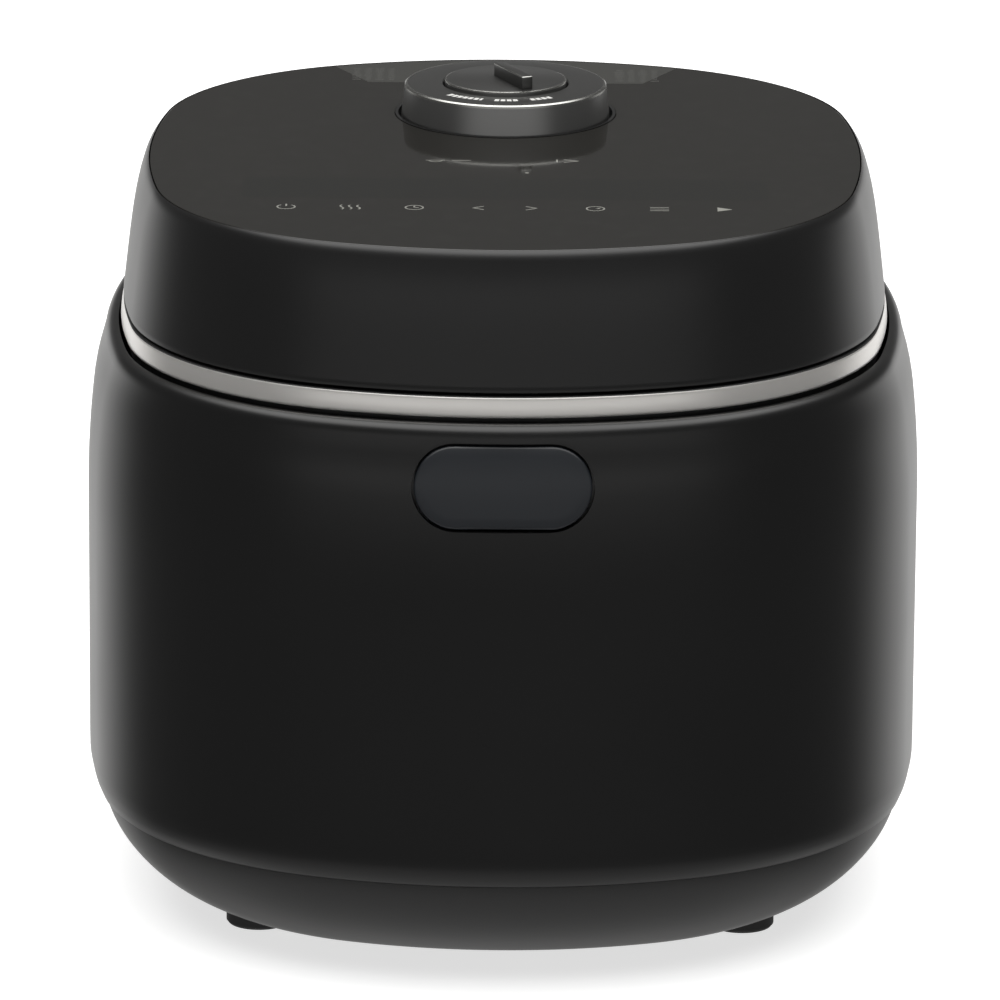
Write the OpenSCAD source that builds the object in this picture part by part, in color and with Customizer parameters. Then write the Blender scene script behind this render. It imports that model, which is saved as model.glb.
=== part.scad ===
// Electric pressure cooker with a hinged lid, a turning lock and a lift-out pot.
// Z is up, the front faces -Y, and the feet stand on z = 0. Millimetres throughout.

/* [Pot] */
// Inside diameter of the cooking pot
pot_d = 208; // [170:1:260]
// Inside depth of the cooking pot, from its floor to its rim
pot_depth = 150; // [120:1:185]
// Wall thickness of the cooking pot
pot_wall = 2; // [1.2:0.1:3]
// Floor thickness of the cooking pot
pot_floor = 3; // [2:0.5:5]
// Width of the flange around the pot's mouth
pot_flange = 8; // [6:0.5:12]
// Radius between the pot's floor and wall
pot_corner = 18; // [10:1:26]

/* [Housing] */
// Air gap between the pot and its housing
housing_gap = 2.5; // [1.5:0.1:4]
// Sheet thickness of the housing
housing_sheet = 1.5; // [1:0.1:2.5]
// Thickness of the heating plate
heater_h = 12; // [9:0.5:16]
// Width of the six lugs that the lid locks under
lug_w = 24; // [18:1:28]
// How far the lugs stand out
lug_reach = 5.5; // [4:0.5:7]
// Thickness of the lock flange
lock_flange_h = 3; // [2:0.5:4]

/* [Body] */
// Room between the lock trough and the widest part of the side wall
side_room = 19.5; // [15:0.5:30]
// How much deeper than wide the body is, front and back each
depth_extra = 18; // [8:1:30]
// Wall thickness of the outer shell
shell_wall = 2.6; // [2:0.1:4]
// Height of the inward curve at the top of the wall
crown_h = 58; // [40:1:70]
// Radius of the inward curve at the top of the wall
crown_r = 330; // [250:5:450]
// How far the wall turns in at the seam
curl_in = 3; // [0:0.5:5]
// Height of that turn
curl_h = 10; // [6:1:30]

/* [Base] */
// Height of the rubber feet
foot_h = 5; // [3:0.5:10]
// Radius of the rubber feet
foot_r = 12; // [8:0.5:14]
// Sideways distance of a foot from the middle
foot_x = 88.5; // [60:0.5:92]
// Front-to-back distance of a foot from the middle
foot_y = 80; // [60:0.5:92]
// Height of the base skirt
skirt_h = 37; // [30:1:50]
// How far the skirt turns in under the body
skirt_in = 45; // [30:1:50]
// Wall thickness of the base
base_wall = 2.5; // [2:0.1:4]

/* [Trim ring] */
// Height of the bright ring
ring_h = 7.6; // [5:0.1:10]
// Thickness of the ring's band
ring_t = 2.1; // [1:0.1:2.3]

/* [Lid] */
// Height of the lid's rim above its lower edge
lid_h = 47.9; // [42:0.1:60]
// How far the lid's skirt hangs below its bottom cover
lid_drop = 1.8; // [0:0.1:2.5]
// Wall thickness of the lid
lid_wall = 2.5; // [2:0.1:4]
// How far the lid's wall leans in towards the top
lid_lean = 7.1; // [4:0.1:10]
// Width of the rounded rim round the control panel
lid_rim = 2.5; // [1.5:0.1:4]
// Thickness of the glossy control panel
panel_t = 3; // [2:0.1:4]
// Height of the gap between the trim ring and the lid
lid_gap = 3; // [2:0.1:4]

/* [Knob] */
// Radius of the lock knob at its foot
knob_r = 39.2; // [32:0.1:44]
// Height of the lock knob above the panel
knob_h = 11.5; // [8:0.1:16]
// Distance of the knob behind the pot's axis
knob_y = 61.4; // [50:0.1:68]
// Radius of the valve dial
dial_r = 22.8; // [18:0.1:27]
// Height of the dial above the knob
dial_rise = 1.6; // [0.5:0.1:3]
// Height of the grip on the dial
grip_h = 5; // [3:0.1:8]
// Width of the grip
grip_w = 4.6; // [3:0.1:8]
// Angle of the grip from straight ahead
grip_a = 22; // [0:1:60]

/* [Keys] */
// Pitch of the touch keys
key_pitch = 23; // [18:0.1:26]
// Distance between the two middle keys
key_middle = 19; // [16:0.5:26]
// Number of touch keys on each side
key_n = 4; // [2:1:4]

/* [Hinge] */
// Distance of the hinge axis behind the pot's axis, short of the body's back
hinge_back = 24.5; // [22:0.5:30]
// Height of the hinge axis above the trim ring
hinge_rise = 4; // [3:0.5:8]
// Radius of the hinge pin
pin_r = 3; // [2:0.1:4]
// Radius of the hinge barrels
barrel_r = 8.5; // [7:0.1:9]
// Half the width over the hinge ears
ear_x = 58; // [52:1:64]

/* [Latch] */
// Width of the release button
button_w = 63.2; // [48:0.2:76]
// Height of the release button
button_h = 29.3; // [22:0.1:32]
// Height of the button's centre below the trim ring's top
button_drop = 30.9; // [26:0.1:36]
// Gap around the button
button_gap = 0.8; // [0.4:0.1:1.2]
// Travel of the button
button_travel = 3; // [2:0.5:4]

/* [Dew collector] */
// Width of the dew collector
dew_w = 64; // [50:1:80]
// Height of the dew collector
dew_h = 38; // [30:1:46]
// Depth of the dew collector
dew_depth = 30; // [27:0.5:33]
// How far the dew collector stands behind the body
dew_out = 7; // [4:0.5:10]

/* [Power inlet] */
// Width of the inlet's flange
inlet_w = 48; // [40:1:56]
// Height of the inlet's flange
inlet_h = 30; // [26:1:36]
// Height of the inlet's centre above the seam
inlet_rise = 44; // [36:1:56]

/* [Clearances] */
// Radial running clearance of every pin and shaft
fit = 0.05; // [0.02:0.01:0.09]
// Gap between neighbouring covers
gap = 0.3; // [0.2:0.05:0.5]

/* [Hidden] */
$fn = 96;

// --- radii, from the pot outwards ---
pot_r = pot_d / 2;
pot_out = pot_r + pot_wall;
rim_r = pot_out + pot_flange;
housing_r = pot_out + housing_gap;
housing_out = housing_r + housing_sheet;
flange_r = rim_r + 4;
lug_r = flange_r + lug_reach;
hook_r = flange_r + 2.5;
hook_wall_r = lug_r + 2.5;
hook_out = hook_wall_r + 3;
trough_r = hook_out + 2.5;
trough_out = trough_r + 2.5;
half_w = trough_out + side_room;
half_d = half_w + depth_extra;
centre_y = -dew_out / 2;

// --- heights, from the floor upwards ---
seam_z = foot_h + skirt_h;
housing_z = seam_z + 4;
heater_z = seam_z + 10;
pot_z = heater_z + heater_h;
rim_z = pot_z + pot_floor + pot_depth;
pot_flange_h = 2;
flange_z = rim_z - pot_flange_h - lock_flange_h;
hook_h = 3.5;
hook_z = flange_z - 0.5 - hook_h;
trough_z = hook_z - 3.5;
frame_sheet = 2.5;
deck_z = rim_z + 2;
ring_z = rim_z + 4;
ring_low = ring_z - ring_h;
shoulder_z = ring_low - 1.4;
lid_z = ring_z + lid_gap;
lid_top = lid_z + lid_h;
hinge_z = ring_z + hinge_rise;
hinge_y = half_d - hinge_back;
button_z = ring_z - button_drop;
inlet_z = seam_z + inlet_rise;
inner_z = rim_z + 2.6;
plate_z = lid_z + 0.5;
plate_h = 2.5;
plate_top = plate_z + plate_h;
ring_flange_z = plate_top + 1;
lever_z = plate_top + 5;
seat_top = lever_z + 0.5;
frame_z = lid_z + 13;
frame_h = 3;
knob_z = lid_top - 3;
knob_top = lid_top + knob_h;
dial_z = knob_top - 3.6;
board_z = lid_top - 14;
dew_z = shoulder_z - 16 - dew_h;
catch_y = -(half_d - 29.7);
catch_bar_z = deck_z - 10.5;
hook_top = catch_bar_z + 5.6;

// --- the outline: eight tangent arcs, drawn at an inset from the widest wall ---
side_r = half_w + 256.5;
front_r = half_w + 54.5;
corner_r = half_w - 31.5;
side_cx = half_w - side_r;
front_cy = half_d - front_r;
reach_s = side_r - corner_r;
reach_f = front_r - corner_r;
span = norm([side_cx, front_cy]);
foot_pt = (reach_s * reach_s - reach_f * reach_f + span * span) / (2 * span);
rise_pt = sqrt(reach_s * reach_s - foot_pt * foot_pt);
dir_x = -side_cx / span;
dir_y = front_cy / span;
corner_x = side_cx + foot_pt * dir_x - rise_pt * dir_y;
corner_y = foot_pt * dir_y + rise_pt * dir_x;
side_a = atan2(corner_y, corner_x - side_cx);
front_a = atan2(corner_y - front_cy, corner_x);

function arc(c, r, a0, a1, n) =
    [for (i = [0 : n - 1]) let (a = a0 + (a1 - a0) * i / n) c + r * [cos(a), sin(a)]];
function outline(d) = concat(
    arc([side_cx, 0], side_r - d, -side_a, side_a, 4),
    arc([corner_x, corner_y], corner_r - d, side_a, front_a, 9),
    arc([0, front_cy], front_r - d, front_a, 180 - front_a, 8),
    arc([-corner_x, corner_y], corner_r - d, 180 - front_a, 180 - side_a, 9),
    arc([-side_cx, 0], side_r - d, 180 - side_a, 180 + side_a, 4),
    arc([-corner_x, -corner_y], corner_r - d, 180 + side_a, 180 + front_a, 9),
    arc([0, -front_cy], front_r - d, 180 + front_a, 360 - front_a, 8),
    arc([corner_x, -corner_y], corner_r - d, 360 - front_a, 360 - side_a, 9));
outline_n = 60;

// The wall's inset from its widest outline, at a height
function curl_at(z) = z < seam_z + curl_h ? curl_in * pow((seam_z + curl_h - z) / curl_h, 2) : 0;
function crown_at(z) = z > shoulder_z - 4 - crown_h
    ? pow(z - (shoulder_z - 4 - crown_h), 2) / (2 * crown_r) : 0;
function wall_in(z) = curl_at(z) + crown_at(z);
// The insets of the trim ring and of the lid's foot
ring_in = wall_in(shoulder_z - 4) + 7;
lid_in = ring_in + 1.1;
frame_in = ring_in + ring_t + gap;
panel_in = lid_in + lid_lean + lid_rim;
function skirt_at(t) = [curl_in + gap + skirt_in * (1 - pow(cos(t), 1.18)),
    seam_z - gap - (skirt_h - gap) * pow(sin(t), 1.18)];

// Joins the rings of a closed profile [inset, height], listed downwards on the outside
module ring_loft(profile) {
    m = len(profile);
    n = outline_n;
    polyhedron(
        [for (p = profile) for (q = outline(p[0])) [q[0], q[1], p[1]]],
        [for (i = [0 : m - 1]) for (j = [0 : n - 1]) for (k = [0, 1])
            let (a = i * n, b = ((i + 1) % m) * n, j2 = (j + 1) % n)
            k == 0 ? [a + j, a + j2, b + j2] : [a + j, b + j2, b + j]]);
}
// Joins open layers [inset, height], listed downwards, and closes both ends
module stack_loft(layers) {
    m = len(layers);
    n = outline_n;
    polyhedron(
        [for (p = layers) for (q = outline(p[0])) [q[0], q[1], p[1]]],
        concat([[for (j = [n - 1 : -1 : 0]) j]],
            [for (i = [0 : m - 2]) for (j = [0 : n - 1]) for (k = [0, 1])
                let (a = i * n, b = (i + 1) * n, j2 = (j + 1) % n)
                k == 0 ? [a + j, a + j2, b + j2] : [a + j, b + j2, b + j]],
            [[for (j = [0 : n - 1]) (m - 1) * n + j]]));
}
// A round wire swept along points, closed at both ends
module wire(path, r, sides = 8) {
    n = len(path);
    pts = [for (i = [0 : n - 1])
        let (t = path[min(i + 1, n - 1)] - path[max(i - 1, 0)],
            u = t / norm(t),
            s = abs(u[2]) < 0.9 ? cross(u, [0, 0, 1]) : cross(u, [1, 0, 0]),
            v = s / norm(s),
            w = cross(u, v))
        for (k = [0 : sides - 1]) path[i] + r * (cos(k * 360 / sides) * v + sin(k * 360 / sides) * w)];
    polyhedron(pts, concat([[for (k = [sides - 1 : -1 : 0]) k]],
        [for (i = [0 : n - 2]) for (k = [0 : sides - 1]) for (h = [0, 1])
            let (a = i * sides, b = (i + 1) * sides, k2 = (k + 1) % sides)
            h == 0 ? [a + k, a + k2, b + k2] : [a + k, b + k2, b + k]],
        [[for (k = [0 : sides - 1]) (n - 1) * sides + k]]));
}
module coil(r, wire_r, length, turns, steps = 14) {
    cone_coil(r, r, wire_r, length, turns, steps);
}
module cone_coil(r1, r2, wire_r, length, turns, steps = 14) {
    last = turns * steps;
    wire([for (i = [0 : last]) let (r = r1 + (r2 - r1) * i / last, a = i * 360 / steps)
        [r * cos(a), r * sin(a), wire_r + (length - 2 * wire_r) * i / last]], wire_r, 6);
}
module place() translate([0, centre_y, 0]) children();
module tube(r1, r2, z1, z2) translate([0, 0, z1]) difference() {
    cylinder(r = r2, h = z2 - z1);
    translate([0, 0, -1]) cylinder(r = r1, h = z2 - z1 + 2);
}
module rod(r, z1, z2) translate([0, 0, z1]) cylinder(r = r, h = z2 - z1);
module box(x1, x2, y1, y2, z1, z2) translate([x1, y1, z1]) cube([x2 - x1, y2 - y1, z2 - z1]);
module bar_x(r, x1, x2, y, z) translate([x1, y, z]) rotate([0, 90, 0]) cylinder(r = r, h = x2 - x1);
module bar_y(r, y1, y2, x, z) translate([x, y2, z]) rotate([90, 0, 0]) cylinder(r = r, h = y2 - y1);
module four(x, y) for (sx = [-1, 1]) for (sy = [-1, 1]) translate([sx * x, sy * y, 0]) children();
module at_knob() translate([0, knob_y, 0]) children();
module pill(w, h, y1, y2, z) {
    bar_y(h / 2, y1, y2, -(w - h) / 2, z);
    bar_y(h / 2, y1, y2, (w - h) / 2, z);
    box(-(w - h) / 2, (w - h) / 2, y1, y2, z - h / 2, z + h / 2);
}

// --- base ---
column_x = corner_x + 49.5;
column_y = corner_y + 49.5;
column_r = 5;
post_r = pot_r - 16;
screw_r = 1.6;
board_post_x = 50;
board_post_y = 36;
board_screw_r = 1.4;
board_t = 1.6;
base_board_z = foot_h + 9;
base_board_top = base_board_z + board_t;
slot_x = 28;
slot_half_l = 16;
slot_half_w = 2;
slot_pitch = 9;
module base() color("#232323") place() difference() {
    union() {
        stack_loft(concat(
            [for (t = [90 : -10 : 0]) let (p = skirt_at(t)) [p[0] + base_wall, max(p[1], foot_h + base_wall)]],
            [for (t = [0 : 10 : 90]) skirt_at(t)]));
        four(column_x, column_y) rod(column_r, foot_h + 1, seam_z);
        for (a = [90 : 120 : 330]) rotate(a) translate([post_r, 0, 0]) rod(6, foot_h + 1, housing_z);
        four(board_post_x, board_post_y) rod(4, foot_h + 1, base_board_z);
    }
    four(board_post_x, board_post_y) rod(board_screw_r, foot_h + 4, base_board_z + 1);
    four(column_x, column_y) rod(screw_r + 0.3, foot_h - 1, seam_z + 1);
    four(column_x, column_y) rod(4, foot_h - 1, foot_h + 4);
    for (sx = [-1, 1]) for (i = [-3 : 3])
        translate([sx * slot_x, i * slot_pitch, 0])
        box(-slot_half_l, slot_half_l, -slot_half_w, slot_half_w, foot_h - 1, foot_h + base_wall + 1);
}
module foot_pads() color("#101010") place() four(foot_x, foot_y) {
    cylinder(r1 = foot_r - 0.8, r2 = foot_r, h = 1);
    rod(foot_r, 1, foot_h);
}
module base_screws() color("#8a8d90") place() four(column_x, column_y) {
    rod(3.4, foot_h + 1.5, foot_h + 4);
    rod(screw_r, foot_h + 4, seam_z + 14);
}

// --- outer shell and trim ---
shell_z = concat([for (k = [0 : 4]) shoulder_z - 4 - crown_h * k / 4],
    [for (k = [0 : 3]) seam_z + curl_h * (3 - k) / 3]);
lip_in = ring_in - 0.7;
// The rear wall is a piece of its own, which carries the collector and the inlet
rear_x = ear_x + 4;
seam_gap = 0.2;
module shell_ring() ring_loft(concat(
    [[lip_in, shoulder_z], [wall_in(shoulder_z - 4) + 3.4, shoulder_z],
        [wall_in(shoulder_z - 4) + 1.3, shoulder_z - 1.1]],
    [for (z = shell_z) [wall_in(z), z]],
    [for (i = [len(shell_z) - 1 : -1 : 0]) [wall_in(shell_z[i]) + shell_wall, shell_z[i]]],
    [[wall_in(shoulder_z - 4) + 3.8, shoulder_z - 2.4], [lip_in, shoulder_z - 2.4]]));
module body_shell() color("#1b1b1b") place() difference() {
    shell_ring();
    pill(button_w + 2 * button_gap, button_h + 2 * button_gap, -half_d - 5, -half_d + 20, button_z);
    box(-rear_x - seam_gap, rear_x + seam_gap, half_d / 2, half_d + 5, seam_z - 1, shoulder_z + 1);
}
module rear_wall() color("#1e1e1e") place() difference() {
    intersection() {
        shell_ring();
        box(-rear_x, rear_x, half_d / 2, half_d + 5, seam_z - 1, shoulder_z + 1);
    }
    box(-dew_w / 2 - 1, dew_w / 2 + 1, half_d - 20, half_d + 5, dew_z - 1, dew_z + dew_h + 1);
    box(-inlet_w / 2 + 3, inlet_w / 2 - 3, half_d - 20, half_d + 5,
        inlet_z - inlet_h / 2 + 3, inlet_z + inlet_h / 2 - 3);
}
notch_x = ear_x + 8;
notch_z = shoulder_z;
module trim_ring() color("#c9c9c6") place() difference() {
    ring_loft([[ring_in + 5.2, ring_z], [ring_in + 0.5, ring_z], [ring_in, ring_z - 0.5],
        [ring_in, ring_low], [ring_in + ring_t, ring_low], [ring_in + ring_t, ring_z - 1.5],
        [ring_in + 5.2, ring_z - 1.5]]);
    box(-notch_x, notch_x, 0, half_d + 1, ring_low - 1, ring_z + 1);
}

// --- upper frame, with the trough that the lock hooks enter ---
frame_top = ring_z - 1.5 - gap;
window_x = 15;
spout_y = half_d - frame_in - 4.4;
ear_w = 9.5;
// Where the shell's lip passes behind the outer end of an ear
lip_y = front_cy + sqrt(pow(front_r - lip_in, 2) - pow(ear_x, 2));
module hinge_ear(s) {
    x1 = s > 0 ? ear_x - ear_w : -ear_x;
    bar_x(barrel_r, x1, x1 + ear_w, hinge_y, hinge_z);
    box(x1, x1 + ear_w, hinge_y - 7, min(hinge_y + 6, lip_y - gap), notch_z - 1, hinge_z);
}
module upper_frame() color("#161616") place() difference() {
    union() {
        difference() {
            stack_loft([[frame_in, frame_top], [frame_in, shoulder_z - 6]]);
            stack_loft([[frame_in + frame_sheet, frame_top + 1], [frame_in + frame_sheet, shoulder_z - 7]]);
            box(-notch_x, notch_x, 0, half_d, notch_z, ring_z + 1);
        }
        difference() {
            stack_loft([[frame_in + 1, deck_z], [frame_in + 1, deck_z - frame_sheet]]);
            rod(trough_r, deck_z - 9, deck_z + 1);
            box(-notch_x, notch_x, hinge_y - barrel_r - 3, half_d, deck_z - 9, deck_z + 1);
        }
        intersection() {
            stack_loft([[frame_in + 1, notch_z], [frame_in + 1, notch_z - frame_sheet]]);
            difference() {
                box(-notch_x - 2, notch_x + 2, hinge_y - barrel_r - 5, half_d, notch_z - 9, notch_z + 1);
                rod(trough_out - 1, notch_z - 9, notch_z + 1);
            }
        }
        tube(trough_r, trough_out, trough_z, deck_z);
        tube(housing_out + gap, trough_out, trough_z, trough_z + frame_sheet);
        four(column_x, column_y) rod(column_r, seam_z + gap, trough_z + 1);
        hinge_ear(-1);
        hinge_ear(1);
        translate([0, spout_y, 0]) rod(3.4, dew_z + dew_h + 2, notch_z - 1);
    }
    bar_x(pin_r + fit, -half_w, half_w, hinge_y, hinge_z);
    translate([0, spout_y, 0]) rod(1.8, dew_z + dew_h, notch_z + 1);
    box(-window_x, window_x, catch_y - 6, catch_y + 4.5, deck_z - 9, deck_z + 1);
    four(column_x, column_y) rod(screw_r, seam_z - 1, seam_z + 15);
}

// --- pot, housing and heater ---
module pot_housing() color("#9a9c9e") place() rotate_extrude() polygon([
    [9, housing_z], [housing_out, housing_z], [housing_out, flange_z], [housing_r, flange_z],
    [housing_r, housing_z + housing_sheet], [9, housing_z + housing_sheet]]);
module lock_flange() color("#b9babb") place() {
    tube(housing_r, flange_r, flange_z, flange_z + lock_flange_h);
    for (a = [30 : 60 : 330]) rotate(a - lug_w / 2) rotate_extrude(angle = lug_w)
        polygon([[flange_r - 1, flange_z], [lug_r, flange_z], [lug_r, flange_z + lock_flange_h],
            [flange_r - 1, flange_z + lock_flange_h]]);
}
module inner_pot() color("#3a3b3d") place() rotate_extrude() polygon(concat(
    [[0, pot_z], [pot_out - pot_corner, pot_z]],
    [for (a = [-75 : 15 : -15]) [pot_out - pot_corner + pot_corner * cos(a), pot_z + pot_corner + pot_corner * sin(a)]],
    [[pot_out, pot_z + pot_corner], [pot_out, rim_z - pot_flange_h], [rim_r, rim_z - pot_flange_h], [rim_r, rim_z],
        [pot_r + 0.6, rim_z], [pot_r, rim_z - 0.8], [pot_r, pot_z + pot_corner + pot_floor - pot_wall]],
    [for (a = [-15 : -15 : -75]) [pot_out - pot_corner + (pot_corner - pot_wall) * cos(a),
        pot_z + pot_floor + (pot_corner - pot_wall) * (1 + sin(a))]],
    [[pot_out - pot_corner, pot_z + pot_floor], [0, pot_z + pot_floor]]));
heater_r = pot_out - pot_corner - 2;
sensor_r = 14.5;
coil_r = heater_r * 0.72;
coil_tube = 3.5;
module heating_plate() color("#a7a9ab") place() {
    difference() {
        tube(sensor_r + 0.5, heater_r, heater_z + 2, pot_z);
        rotate_extrude() translate([coil_r, heater_z + 2]) circle(r = coil_tube + 0.2);
        for (a = [90 : 120 : 330]) rotate(a) translate([heater_r - 9, 0, 0]) rod(screw_r, heater_z, pot_z - 4);
    }
    for (a = [90 : 120 : 330]) rotate(a) translate([heater_r - 9, 0, 0])
        tube(screw_r, 5, housing_z + housing_sheet, heater_z + 2.5);
}
module heater_coil() color("#5b5c5e") place() rotate(-80) union() {
    rotate_extrude(angle = 340) translate([coil_r, heater_z + 2]) circle(r = coil_tube);
    for (a = [0, 340]) rotate(a) translate([coil_r, 0, 0]) rod(2.4, housing_z + housing_sheet + 0.5, heater_z + 2);
}
module sensor_cap() color("#c4c6c8") place() {
    rotate_extrude() polygon([[4, pot_z - 8], [5.5, pot_z - 8], [5.5, pot_z - 2.2], [12.5, pot_z - 2.2],
        [12.5, pot_z - 7], [sensor_r, pot_z - 7], [sensor_r, pot_z - 1.3], [sensor_r - 1, pot_z - gap],
        [0, pot_z - gap], [0, pot_z - 2.2], [4, pot_z - 2.2]]);
}
module sensor_spring() color("#7d8083") place()
    translate([0, 0, housing_z + housing_sheet + 0.1])
        coil(10.6, 0.6, pot_z - 2.4 - housing_z - housing_sheet - 0.2, 4);
module pressure_switch() color("#2b3a55") place() {
    rod(9, housing_z - 13, housing_z - 2);
    rod(4.5, housing_z - 2, housing_z + 5);
    for (s = [-1, 1]) box(s * 4 - 0.4, s * 4 + 0.4, -2, 2, housing_z - 19, housing_z - 12.5);
}
module power_board() color("#1f5a35") place() {
    difference() {
        box(-56, 56, -42, 42, base_board_z, base_board_top);
        four(board_post_x, board_post_y) rod(board_screw_r + 0.2, base_board_z - 1, base_board_top + 1);
    }
    for (i = [-1 : 1]) translate([i * 16 - 20, 22, 0]) rod(6, base_board_top, base_board_top + 15.4);
    box(16, 44, -30, -4, base_board_top, base_board_top + 16.4);
    box(-48, -22, -34, -12, base_board_top, base_board_top + 13.4);
    box(20, 46, 10, 32, base_board_top, base_board_top + 11.4);
    box(-14, 4, -36, -24, base_board_top, base_board_top + 9.4);
}
module board_screws() color("#8a8d90") place() four(board_post_x, board_post_y) {
    rod(2.8, base_board_top, base_board_top + 1.8);
    rod(board_screw_r, foot_h + 4, base_board_top + 0.5);
}
module thermal_fuse() color("#e6e2d6") place() {
    bar_x(2.2, 22, 36, -30, housing_z - 2.5);
    bar_x(0.5, 14, 44, -30, housing_z - 2.5);
}

// --- power inlet, at the back ---
inlet_back = half_d + 2;
socket_depth = 18;
socket_floor = half_d - socket_depth;
socket_hw = inlet_w / 2 - 11;
socket_hh = inlet_h / 2 - 7;
contact_pitch = 7;
contact_hw = 1;
contact_hh = 2;
module power_inlet() color("#141414") place() difference() {
    union() {
        difference() {
            box(-inlet_w / 2, inlet_w / 2, half_d - 4, inlet_back, inlet_z - inlet_h / 2, inlet_z + inlet_h / 2);
            stack_loft([[-0.05, inlet_z + inlet_h], [-0.05, inlet_z - inlet_h]]);
        }
        box(-inlet_w / 2 + 4, inlet_w / 2 - 4, socket_floor - 6, half_d + 1,
            inlet_z - inlet_h / 2 + 4, inlet_z + inlet_h / 2 - 4);
    }
    box(-socket_hw, socket_hw, socket_floor, inlet_back + 1, inlet_z - socket_hh, inlet_z + socket_hh);
    contacts(0.02, socket_floor - 7, socket_floor + 1);
}
module contacts(grow, y1, y2) for (i = [-1 : 1]) translate([i * contact_pitch, 0, inlet_z + 1 - abs(i)])
    box(-contact_hw - grow, contact_hw + grow, y1, y2, -contact_hh - grow, contact_hh + grow);
module inlet_pins() color("#c8a860") place() contacts(0, socket_floor - 10, half_d - 4);

// --- release button and latch ---
arm_front = catch_y - 7.2;
arm_back = catch_y - 5;
pivot_z = button_z + 6;
stem_z = button_z - 5;
guide_y = -half_d + 13.5;
stem_r = 4;
tip_r = 1.2;
module release_button() color("#2a2d31") place() {
    intersection() {
        pill(button_w, button_h, -half_d - 5, -half_d + wall_in(button_z) + 6, button_z);
        ring_loft([[wall_in(button_z + 20), button_z + 20], [wall_in(button_z), button_z],
            [wall_in(button_z - 20), button_z - 20], [60, button_z - 20], [60, button_z + 20]]);
    }
    bar_y(stem_r, -half_d + wall_in(button_z) + 5, arm_front - button_travel - 0.6, 0, stem_z);
    bar_y(tip_r, -half_d + wall_in(button_z) + 6, arm_front - gap, 0, stem_z);
}
module button_spring() color("#8b8e91") place()
    translate([0, guide_y, stem_z]) rotate([90, 0, 0]) cone_coil(8, stem_r + 1, 0.4, 1.9, 2, 18);
module latch_bracket() color("#6d7073") place() difference() {
    union() {
        box(-36, 36, guide_y, guide_y + 2, stem_z - 10, shoulder_z - 6.2);
        for (s = [-1, 1]) box(s * 10 - 1.25, s * 10 + 1.25, guide_y + 1, arm_back + 5, pivot_z - 6, pivot_z + 6);
    }
    bar_y(stem_r + fit, guide_y - 1, guide_y + 3, 0, stem_z);
    bar_x(1.5 + fit, -20, 20, arm_back - 1.1, pivot_z);
    box(-6, 6, guide_y - 1, guide_y + 3, pivot_z - 3, shoulder_z);
}
module latch_hook() color("#85888b") place() difference() {
    union() {
        box(-5.5, 5.5, arm_front, arm_back, stem_z - 6, hook_top);
        box(-5.5, 5.5, arm_front, catch_y - 1.7, hook_top - 2.6, hook_top);
        bar_x(3, -5.5, 5.5, arm_back - 1.1, pivot_z);
    }
    bar_x(1.5 + fit, -20, 20, arm_back - 1.1, pivot_z);
}
module latch_pin() color("#9b9ea1") place() bar_x(1.5, -13, 13, arm_back - 1.1, pivot_z);
module latch_spring() color("#8b8e91") place()
    translate([6.4, arm_back - 1.1, pivot_z]) rotate([0, 90, 0]) coil(2.4, 0.3, 2, 2, 12);
module lid_catch() color("#85888b") place() {
    for (s = [-1, 1]) box(s * 11 - 1, s * 11 + 1, catch_y - 1.2, catch_y + 1.3, catch_bar_z, lid_z + 2.05);
    box(-12, 12, catch_y - 1.2, catch_y + 1.3, catch_bar_z, catch_bar_z + 2.5);
    box(-18, 18, catch_y - 1.2, catch_y + 7, lid_z + 2.05, lid_z + 4);
}

// --- dew collector ---
dew_y = half_d + dew_out - dew_depth;
module dew_bracket() color("#161616") place() {
    box(-dew_w / 2 - 3, dew_w / 2 + 3, dew_y - 3, dew_y - 0.8, dew_z - 3, notch_z - frame_sheet);
    box(-dew_w / 2 - 3, dew_w / 2 + 3, dew_y - 3, half_d - 8, dew_z - 3, dew_z - 0.8);
}
module dew_collector() color("#8d9499") place() difference() {
    box(-dew_w / 2, dew_w / 2, dew_y, half_d + dew_out, dew_z, dew_z + dew_h);
    box(-dew_w / 2 + 2, dew_w / 2 - 2, dew_y + 2, half_d + dew_out - 2, dew_z + 2, dew_z + dew_h + 1);
}

// --- hinge ---
knuckle_in = 27;
knuckle_out = ear_x - 10;
module hinge_pin() color("#9b9ea1") place() bar_x(pin_r, -ear_x - 1, ear_x + 1, hinge_y, hinge_z);
module hinge_spring() color("#7d8083") place()
    translate([-knuckle_in + 1, hinge_y, hinge_z]) rotate([0, 90, 0]) coil(5.6, 1, 2 * knuckle_in - 2, 12, 12);

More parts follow.
